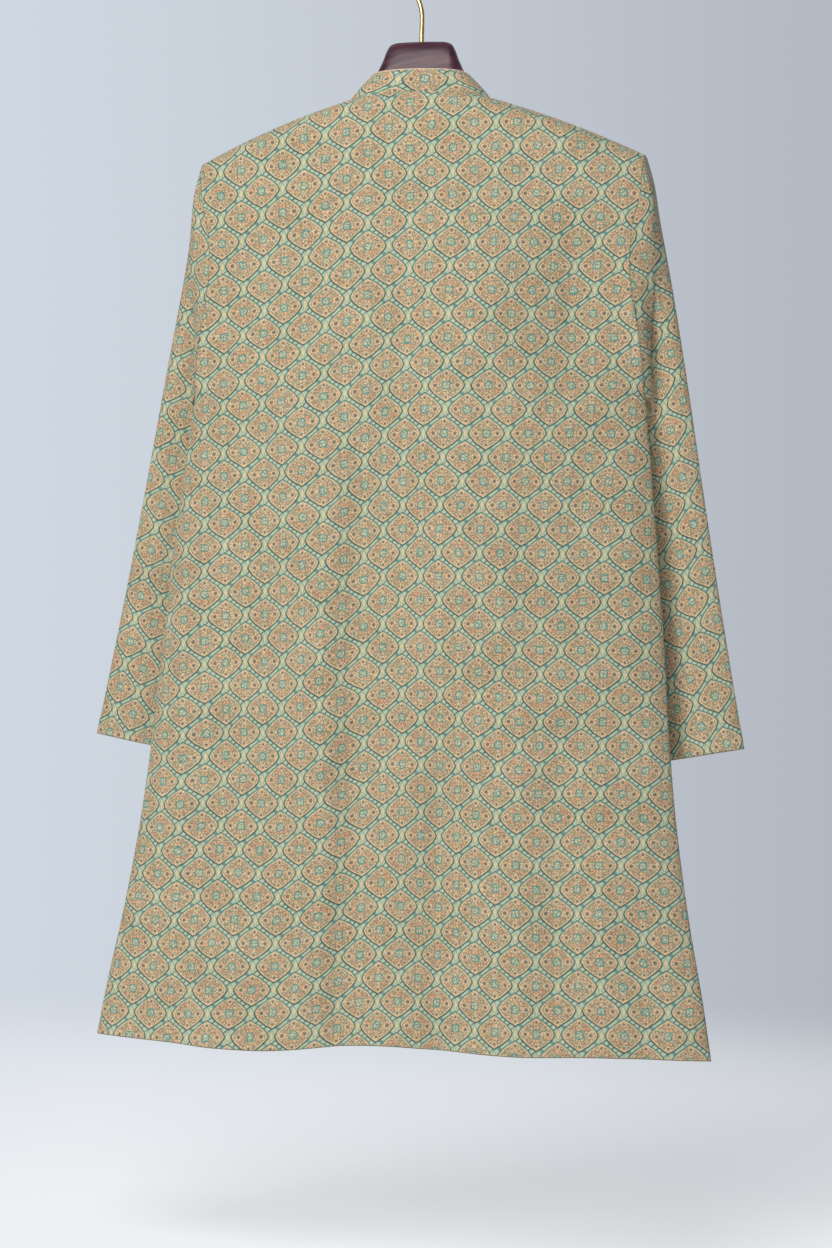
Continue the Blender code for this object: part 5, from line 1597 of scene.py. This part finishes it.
def collar_grids():
    """Outer and inner points of the band, rows from the neckline to its top edge."""
    panels, _ = garment()
    thickness = bpy.context.scene.kurta_cloth.thickness * COLLAR_LAYERS
    middle = panels[BACK].outer.shape[1] // 2
    left, right = middle - NECK_COLUMNS, middle + NECK_COLUMNS
    stops = [(FRONT, column) for column in range(middle, right)]
    stops += [(BACK, column) for column in range(right, left - 1, -1)]
    stops += [(FRONT, column) for column in range(left + 1, middle + 1)]
    outer = np.array([panels[face].outer[0, column] for face, column in stops])
    inner = np.array([panels[face].inner[0, column] for face, column in stops])
    for corner in (NECK_COLUMNS, 3 * NECK_COLUMNS):
        outer[corner][1] = inner[corner][1] = shoulder_y(NECK_HALF)
    upward = np.cross(outer - inner, np.gradient(outer, axis=0))
    upward /= np.linalg.norm(upward, axis=1, keepdims=True)
    if upward[2 * NECK_COLUMNS][2] < 0:
        upward = -upward
    top = outer * (COLLAR_TOP_SHARE, COLLAR_TOP_DEPTH_SHARE, 1.0)
    forward = ease(NECK_DOWN, NECK_DOWN + COLLAR_FRONT_RUN, -outer[:, 2])
    risen = outer[:, 2] + mix(NECK_DOWN - COLLAR_TOP_DOWN, COLLAR_FRONT_RISE, forward)
    in_front = outer[:, 1] > shoulder_y(NECK_HALF) + 1e-6
    top[:, 2] = np.where(in_front, risen, -COLLAR_TOP_DOWN)
    start = outer + upward * SEAM_GAP
    parts = np.concatenate([np.linspace(0.0, 1.0, COLLAR_ROWS)[:-1], [COLLAR_TURN_SHARE, 1.0]])
    grid = []
    for part in parts:
        row = mix(start, top, part)
        swell = COLLAR_SWELL * math.sin(math.pi * part)
        row[:, 0] += swell * np.sign(row[:, 0]) * (np.abs(row[:, 0]) > COLLAR_FLAT_HALF)
        grid.append(row)
    grid = np.array(grid)
    grid[:, 0, 0] = COLLAR_FRONT_GAP / 2
    grid[:, -1, 0] = -COLLAR_FRONT_GAP / 2
    normals = grid_normals(grid)
    if normals[COLLAR_ROWS // 2, grid.shape[1] // 2, 1] > 0:
        normals = -normals
    for end in (0, -1):
        normals[:, end, 0] = 0.0
    normals /= np.linalg.norm(normals, axis=2, keepdims=True)
    grid[-1] -= normals[-1] * EDGE_ROUNDING
    walls = grid - normals * thickness
    walls[0] = inner + upward * SEAM_GAP
    walls[0] = grid[0] + unit(walls[0] - grid[0]) * thickness
    walls[-1] += normals[-1] * EDGE_ROUNDING
    for end in (0, -1):
        walls[0, end, 0] = grid[0, end, 0]
    return grid, walls, normals


class BuildCollar(bpy.types.Operator):
    """Build the standing band with its turned top edge"""

    bl_idname = "kurta.build_collar"
    bl_label = "Collar Band"

    def execute(self, context):
        grid, walls, _ = collar_grids()
        steps = np.linalg.norm(np.diff(grid[-1], axis=0), axis=1)
        along = np.concatenate([[0.0], np.cumsum(steps)])
        along -= along[-1] / 2
        rise = np.cumsum(np.linalg.norm(np.diff(grid, axis=0, prepend=grid[:1]), axis=2), axis=0)
        places = np.stack(np.broadcast_arrays(COLLAR_MEDALLION_X - along,
                                              rise - rise[-1] + COLLAR_MEDALLION_DOWN), axis=-1)
        add_cloth("collar", (grid, walls, places), CUTS["collar"], ["back_cloth", "front_cloth"],
                  COLLAR_EDGE)
        return {"FINISHED"}


def placket_base():
    """Points of the front panel under the placket strips."""
    panels, _ = garment()
    front = panels[FRONT]
    middle = front.outer.shape[1] // 2
    rows = front.downs[:, middle] <= PLACKET_END_DOWN + PLACKET_BEYOND
    across = np.array(PLACKET_SHARES) * PLACKET_HALF
    window = slice(middle - PLACKET_COLUMNS, middle + PLACKET_COLUMNS + 1)
    points = []
    for row in front.outer[rows][:, window]:
        points.append(np.stack([np.interp(across, row[:, 0], column) for column in row.T], axis=1))
    points = np.array(points)
    points[0, :, 2] -= SEAM_GAP
    return points


class BuildPlacket(bpy.types.Operator):
    """Build the two overlapping strips of the front opening"""

    bl_idname = "kurta.build_placket"
    bl_label = "Placket"

    def execute(self, context):
        base = placket_base()
        lift = SEAM_GAP
        for name, shift in PLACKET_PRINT_SHIFTS.items():
            far = base + (0.0, lift + PLACKET_CLOTH, 0.0)
            far[:, [0, -1], 1] -= EDGE_ROUNDING
            far[-1, :, 1] -= PLACKET_END_ROUNDING
            near = base + (0.0, lift + PLACKET_CLOTH * PLACKET_NEAR_SHARE, 0.0)
            places = np.stack([base[..., 0] + shift, base[..., 2] + shift], axis=-1)
            add_cloth(f"placket_{name}", (far, near, places), CUTS["placket"], ["front_cloth"])
            lift += PLACKET_CLOTH + SEAM_GAP
        return {"FINISHED"}


def form_button(editor):
    """Form a turned button with a raised rim and four holes, its back at the origin."""
    rings = []
    for ring in BUTTON_PROFILE:
        rings.append([editor.verts.new((x, ring.depth, z))
                      for x, z in circle(BUTTON_SIDES, BUTTON_RADIUS * ring.radius_share)])
    for low, high in zip(rings, rings[1:]):
        for side in range(BUTTON_SIDES):
            after = (side + 1) % BUTTON_SIDES
            editor.faces.new((low[side], low[after], high[after], high[side]))
    holes = []
    for level in (0.0, BUTTON_PROFILE[-1].depth):
        circles = []
        for corner in range(4):
            turn = math.pi / 4 + math.pi / 2 * corner
            middle_x, middle_z = HOLE_OUT * math.cos(turn), HOLE_OUT * math.sin(turn)
            circles.append([editor.verts.new((middle_x + x, level, middle_z + z))
                            for x, z in circle(HOLE_SIDES, HOLE_RADIUS)])
        holes.append(circles)
    for lower, upper in zip(*holes):
        for side in range(HOLE_SIDES):
            after = (side + 1) % HOLE_SIDES
            editor.faces.new((lower[side], upper[side], upper[after], lower[after]))
    for ring, circles in ((rings[0], holes[0]), (rings[-1], holes[1])):
        edges = []
        for loop in (ring, *circles):
            edges += [editor.edges.get(pair) for pair in zip(loop, loop[1:] + loop[:1])]
        bmesh.ops.triangle_fill(editor, use_beauty=True, use_dissolve=False, edges=edges)
    bmesh.ops.recalc_face_normals(editor, faces=editor.faces)


def button_mesh(name, place):
    """One button at its place, its thread left to the sewing."""
    mesh = bpy.data.meshes.new(name)
    with editing(mesh) as editor:
        form_button(editor)
    mesh.transform(Matrix.Translation(Vector(place)))
    mesh.shade_smooth()
    mesh.set_sharp_from_angle(angle=BUTTON_SHARP_ANGLE)
    return mesh


def button_places():
    """Where each button sits on the upper strip."""
    base = placket_base()
    middle = base[:, base.shape[1] // 2]
    lift = 2 * (PLACKET_CLOTH + SEAM_GAP)
    places = []
    for number in range(BUTTON_COUNT):
        down = -middle[0][2] + BUTTON_FIRST + number * BUTTON_STEP
        places.append((0.0, float(np.interp(down, -middle[:, 2], middle[:, 1])) + lift, -down))
    return places


class BuildButtons(bpy.types.Operator):
    """Build the four sewn buttons and their thread"""

    bl_idname = "kurta.build_buttons"
    bl_label = "Buttons"

    def execute(self, context):
        material = button_material()
        settings = context.scene.kurta_cloth
        out = HOLE_OUT * BUTTON_THREAD_SHARE
        for number, place in enumerate(button_places(), start=1):
            mesh = button_mesh(f"button_{number}_shell", place)
            add_piece(f"button_{number}_shell", mesh, [material], (f"button_{number}",))
            lines = []
            for slip in (-BUTTON_THREAD_SLIP, 0.0, BUTTON_THREAD_SLIP):
                for way in (1, -1):
                    ends = [(x * out + slip * z, BUTTON_THREAD_DEPTH, z * out - slip * x)
                            for x, z in ((-1, -way), (1, way))]
                    lines.append(with_normals(np.array(ends) + place, OUTWARD))
            mesh = thread_bars(f"button_{number}_thread", lines,
                               settings.thread_radius * BUTTON_THREAD_SIZE)
            add_threads(f"button_{number}_thread", mesh)
        return {"FINISHED"}


def hem_lines(settings, panel):
    """Stitch lines along the turned hem and both slit edges of one panel."""
    top = settings.hem_depth - HEM_STITCH_INSET
    row = int(np.argmin(np.abs(panel.downs[-1, 0] - panel.downs[:, 0] - top)))
    edge = slice(2, panel.outer.shape[1] - 2)
    lines = [with_normals(panel.outer[row, edge], panel.normals[row, edge])]
    numbers = np.nonzero(panel.downs[:, 0] > SLIT_STITCHES_DOWN)[0]
    half = read_table(BODY, "half_width", panel.downs[:, 0])
    share = 1.0 - (settings.slit_turn - SLIT_STITCH_INSET) / half
    columns = np.arange(panel.shares.shape[1])
    signs = np.where(columns < len(columns) // 2, -1.0, 1.0)
    for x_sign in (-1.0, 1.0):
        sides = []
        for grid in (panel.outer, panel.normals):
            sides.append([[np.interp(share[number] * x_sign, panel.shares[number] * signs, column)
                           for column in grid[number].T] for number in numbers])
        lines.append(with_normals(*sides))
    return lines


class BuildSewing(bpy.types.Operator):
    """Sew the hems, slits, collar and placket with rows of real stitches"""

    bl_idname = "kurta.build_sewing"
    bl_label = "Stitching"

    def execute(self, context):
        settings = context.scene.kurta_cloth
        panels, _ = garment()
        for name, face in (("back", BACK), ("front", FRONT)):
            sew(f"{name}_hem_stitches", hem_lines(settings, panels[face]), settings)
        grid, _, normals = collar_grids()
        lines = [with_normals(grid[row], normals[row]) for row in (1, COLLAR_ROWS - 2)]
        sew("collar_stitches", lines, settings)
        base = placket_base()
        level = 2 * (PLACKET_CLOTH + SEAM_GAP)
        lines = []
        for x in (-1, 1):
            edge = base[1:, 4] + (0.0, level, 0.0)
            edge[:, 0] = x * (PLACKET_HALF - PLACKET_STITCH_INSET)
            lines.append(with_normals(edge, OUTWARD))
        for up in PLACKET_END_STITCHES:
            lines.append(with_normals((base[-1] + (0.0, level, up))[1:-1], OUTWARD))
        width, height = BUTTONHOLE_HALF
        for _, y, z in button_places():
            for x in (-width, width):
                lines.append(with_normals([(x, y, z - height), (x, y, z + height)], OUTWARD))
        sew("placket_stitches", lines, settings)
        return {"FINISHED"}


# Hanger

def hook_route():
    """Middle line of the wire: stem, swan neck, loop and a small flick at its end."""
    loop_down = HOOK_RADIUS - WIRE_RADIUS
    reach = HOOK_RADIUS + HOOK_SWAN_RADIUS
    rise = math.sqrt(reach ** 2 - HOOK_SWAN_RADIUS ** 2)
    swan_down = loop_down + rise
    lean = math.asin(rise / reach)
    stem_end = WOOD_TOP_DOWN + WIRE_IN_WOOD - HOLE_GAP
    points = [(0.0, -down) for down in np.linspace(stem_end, swan_down, STEM_POINTS)]
    for angle in np.linspace(0.0, lean, SWAN_POINTS)[1:]:
        points.append((-HOOK_SWAN_RADIUS * (1.0 - math.cos(angle)),
                       -swan_down + HOOK_SWAN_RADIUS * math.sin(angle)))
    for angle in np.linspace(math.pi + lean, HOOK_END_ANGLE, LOOP_POINTS)[1:]:
        points.append((HOOK_RADIUS * math.cos(angle), -loop_down + HOOK_RADIUS * math.sin(angle)))
    reach = HOOK_RADIUS + HOOK_FLICK_RADIUS
    centre = (reach * math.cos(HOOK_END_ANGLE), -loop_down + reach * math.sin(HOOK_END_ANGLE))
    for angle in HOOK_END_ANGLE + math.pi + np.linspace(0.0, HOOK_FLICK_ANGLE, FLICK_POINTS)[1:]:
        points.append((centre[0] + HOOK_FLICK_RADIUS * math.cos(angle),
                       centre[1] + HOOK_FLICK_RADIUS * math.sin(angle)))
    return np.array([(x, 0.0, z) for x, z in points])


def wood_section(out, shrink=1.0):
    """One rounded section across the hanger, as points in the YZ plane."""
    if out <= WOOD_NECK[-1].out:
        top = read_table(WOOD_NECK, "top_down", out)
    else:
        top = shoulder_down(out) + WOOD_BELOW_CLOTH
    bottom = read_table(WOOD, "bottom_down", out)
    half_depth = read_table(WOOD, "half_depth", out) * shrink
    power = 2.0 / read_table(WOOD, "squareness", out)
    angle = 2 * math.pi * (np.arange(WOOD_SIDES) + 0.5) / WOOD_SIDES
    y = np.sign(np.sin(angle)) * np.abs(np.sin(angle)) ** power * half_depth
    z = np.sign(np.cos(angle)) * np.abs(np.cos(angle)) ** power * (bottom - top) / 2 * shrink
    return np.stack([shoulder_y(out) + y, -(top + bottom) / 2 + z], axis=1)


class BuildHanger(bpy.types.Operator):
    """Build the shaped wooden body and its wire hook"""

    bl_idname = "kurta.build_hanger"
    bl_label = "Hanger"

    def execute(self, context):
        outs = np.concatenate([np.linspace(*span) for span in WOOD_SPANS])
        sections = [(out, wood_section(out)) for out in outs]
        for tip in WOOD_TIP:
            out = WOOD_REACH + tip.beyond
            sections.append((out, wood_section(min(out, WOOD_REACH), tip.size)))
        both = [(-out, section) for out, section in reversed(sections[1:])] + sections
        points = [(x, y, z) for x, section in both for y, z in section]
        mesh = make_mesh("hanger_arms", points, tube_faces(len(both), WOOD_SIDES))
        piece = add_piece("hanger_arms", mesh, [wood_material()], ("hanger_wood",))
        self.bore(piece)
        self.wire()
        return {"FINISHED"}

    def bore(self, wood):
        """Cut the hole that holds the wire's stem."""
        mesh = bpy.data.meshes.new("stem_cutter")
        radius = WIRE_RADIUS + HOLE_GAP
        with editing(mesh) as editor:
            bmesh.ops.create_cone(editor, cap_ends=True, segments=BORE_SIDES, radius1=radius,
                                  radius2=radius, depth=2 * WIRE_IN_WOOD,
                                  matrix=Matrix.Translation((0.0, 0.0, -WOOD_TOP_DOWN)))
        cutter = bpy.data.objects.new("stem_cutter", mesh)
        bpy.context.scene.collection.objects.link(cutter)
        hole = wood.modifiers.new("stem_hole", "BOOLEAN")
        hole.operation = "DIFFERENCE"
        hole.solver = "EXACT"
        hole.object = cutter
        bpy.context.view_layer.update()
        evaluated = wood.evaluated_get(bpy.context.evaluated_depsgraph_get())
        bored = bpy.data.meshes.new_from_object(evaluated)
        wood.modifiers.clear()
        wood.data = bored
        bpy.data.objects.remove(cutter)

    def wire(self):
        """Draw the wire along the hook's route, with a rounded free end."""
        route = hook_route()
        rings = []
        for place, way in zip(route, np.gradient(route, axis=0)):
            way = unit(way)
            rings.append((place, np.array((way[2], 0.0, -way[0])), WIRE_RADIUS))
        for turn in np.radians(WIRE_END_TURNS):
            rings.append((place + way * WIRE_RADIUS * math.sin(turn), rings[-1][1],
                          WIRE_RADIUS * math.cos(turn)))
        points = [place + (side * cosine + np.array((0.0, sine, 0.0))) * radius
                  for place, side, radius in rings for cosine, sine in circle(WIRE_SIDES)]
        mesh = make_mesh("hook_brass", points, tube_faces(len(rings), WIRE_SIDES))
        add_piece("hook_brass", mesh, [brass_material()], ("hanger_hook",))


# Stage

WARM, COOL = (1.0, 0.985, 0.965), (0.95, 0.97, 1.0)
# The lamps stand at these angles in degrees, the first one measured from the camera's own
Lamp = namedtuple("Lamp", "name azimuth pitch distance size colour glossy")
LAMPS = make_rows(
    Lamp,
    ("key", -35, 14, 4.5, 1.5, WARM, True), ("top", -16, 36, 2.6, 1.2, WARM, True),
    ("fill", 38, 6, 2.4, 1.2, COOL, True), ("front", 176, 34, 3.6, 1.5, WARM, False),
)
LAMP_AIM = (0.0, 0.0, 0.18)
FLOOR_RADIUS = 3.2
FLOOR_SIDES = 96
FLOOR_FADES = (0.5, 3.0)
FLOOR_SCALE = 1.3
SENSOR_WIDTH = 36.0
FARTHEST = 100.0


def face_target(holder, target, azimuth, pitch, distance, roll=0.0):
    """Link a camera or a lamp at a distance from its target, turned to it."""
    flat = math.cos(pitch)
    away = Vector((math.sin(azimuth) * flat, -math.cos(azimuth) * flat, math.sin(pitch)))
    turned = (-away).to_track_quat("-Z", "Y").to_matrix() @ Matrix.Rotation(roll, 3, "Z")
    holder.matrix_world = Matrix.Translation(target + away * distance) @ turned.to_4x4()
    bpy.context.scene.collection.objects.link(holder)


class BuildStage(bpy.types.Operator):
    """Set the camera, the soft lights and the plain pale floor"""

    bl_idname = "kurta.build_stage"
    bl_label = "Stage"

    def execute(self, context):
        scene = context.scene
        settings = scene.kurta_stage
        target = Vector(settings.target)
        camera = bpy.data.cameras.new("camera")
        camera.lens = settings.lens
        camera.sensor_width = SENSOR_WIDTH
        camera.sensor_fit = "AUTO"
        camera.clip_end = FARTHEST
        holder = bpy.data.objects.new("camera", camera)
        face_target(holder, target, settings.azimuth, settings.pitch, settings.distance,
                    settings.roll)
        scene.camera = holder
        scene.view_settings.view_transform = "Standard"
        for lamp in LAMPS:
            light = bpy.data.lights.new(f"{lamp.name}_light", "AREA")
            light.size = lamp.size
            light.energy = getattr(settings, f"{lamp.name}_power")
            light.color = lamp.colour
            holder = bpy.data.objects.new(light.name, light)
            holder.visible_camera = False
            holder.visible_glossy = lamp.glossy
            azimuth = settings.azimuth + math.radians(lamp.azimuth)
            face_target(holder, target + Vector(LAMP_AIM), azimuth, math.radians(lamp.pitch),
                        lamp.distance)
        self.floor(settings)
        self.surroundings(scene, settings)
        return {"FINISHED"}

    def floor(self, settings):
        """A round pale floor that fades into the surroundings."""
        mesh = bpy.data.meshes.new("floor")
        with editing(mesh) as editor:
            bmesh.ops.create_circle(editor, cap_ends=True, segments=FLOOR_SIDES,
                                    radius=FLOOR_RADIUS)
        mesh.transform(Matrix.Translation((0.0, 0.0, -settings.floor_down)))
        material, tree, shader = new_material("pale floor")
        place = coordinates(tree)
        soft = noise(tree, place, FLOOR_SCALE, 3.0)
        tree.links.new(blend(tree, rgba(settings.floor, 0.96), rgba(settings.floor), soft),
                       shader.inputs["Base Color"])
        out = ring_of(*axes(tree, place)[:2])
        tree.links.new((1.0 - out.rising(*FLOOR_FADES)).socket, shader.inputs["Alpha"])
        shader.inputs["Roughness"].default_value = 0.8
        mesh.materials.append(material)
        piece = bpy.data.objects.new("floor", mesh)
        bpy.context.scene.collection.objects.link(piece)

    def surroundings(self, scene, settings):
        """Pale light from all round, dimmer on the back's side and on the right."""
        world = bpy.data.worlds.new("pale surroundings")
        world.use_nodes = True
        tree = world.node_tree
        node = tree.nodes["Background"]
        x, y, _ = axes(tree, coordinates(tree, "Generated"))
        wall = blend(tree, rgba(settings.air), rgba(settings.air_right), x.rising(-0.42, 0.10))
        air = blend(tree, rgba(settings.air, settings.air_dimming), wall, y.rising(-0.5, 0.9))
        tree.links.new(air, node.inputs["Color"])
        node.inputs["Strength"].default_value = settings.air_strength
        scene.world = world


# Panel, registration and the build itself

PIECES = (BuildHanger, BuildBody, BuildSleeves, BuildCollar, BuildPlacket, BuildButtons,
          BuildSewing, BuildStage)


class KurtaPanel(bpy.types.Panel):
    """Lists every piece of the kurta"""

    bl_idname = "VIEW3D_PT_kurta"
    bl_label = "Kurta"
    bl_space_type = "VIEW_3D"
    bl_region_type = "UI"
    bl_category = "Kurta"

    def draw(self, context):
        for operator in PIECES:
            self.layout.operator(operator.bl_idname)
        for group in ("kurta_cloth", "kurta_hanger", "kurta_stage"):
            settings = getattr(context.scene, group)
            box = self.layout.box()
            for field in settings.bl_rna.properties:
                if field.identifier not in ("rna_type", "name"):
                    box.prop(settings, field.identifier)


CLASSES = (KurtaCloth, KurtaHanger, KurtaStage, *PIECES, KurtaPanel)


def register():
    """Register the classes and hang their settings on the scene."""
    for item in CLASSES:
        bpy.utils.register_class(item)
    bpy.types.Scene.kurta_cloth = bpy.props.PointerProperty(type=KurtaCloth)
    bpy.types.Scene.kurta_hanger = bpy.props.PointerProperty(type=KurtaHanger)
    bpy.types.Scene.kurta_stage = bpy.props.PointerProperty(type=KurtaStage)


def unregister():
    """Take the settings and the classes away again."""
    del bpy.types.Scene.kurta_stage
    del bpy.types.Scene.kurta_hanger
    del bpy.types.Scene.kurta_cloth
    for item in reversed(CLASSES):
        bpy.utils.unregister_class(item)


def main():
    """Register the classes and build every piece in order."""
    register()
    for operator in PIECES:
        group, name = operator.bl_idname.split(".")
        getattr(getattr(bpy.ops, group), name)()
    bpy.context.view_layer.update()


if __name__ == "__main__":
    main()
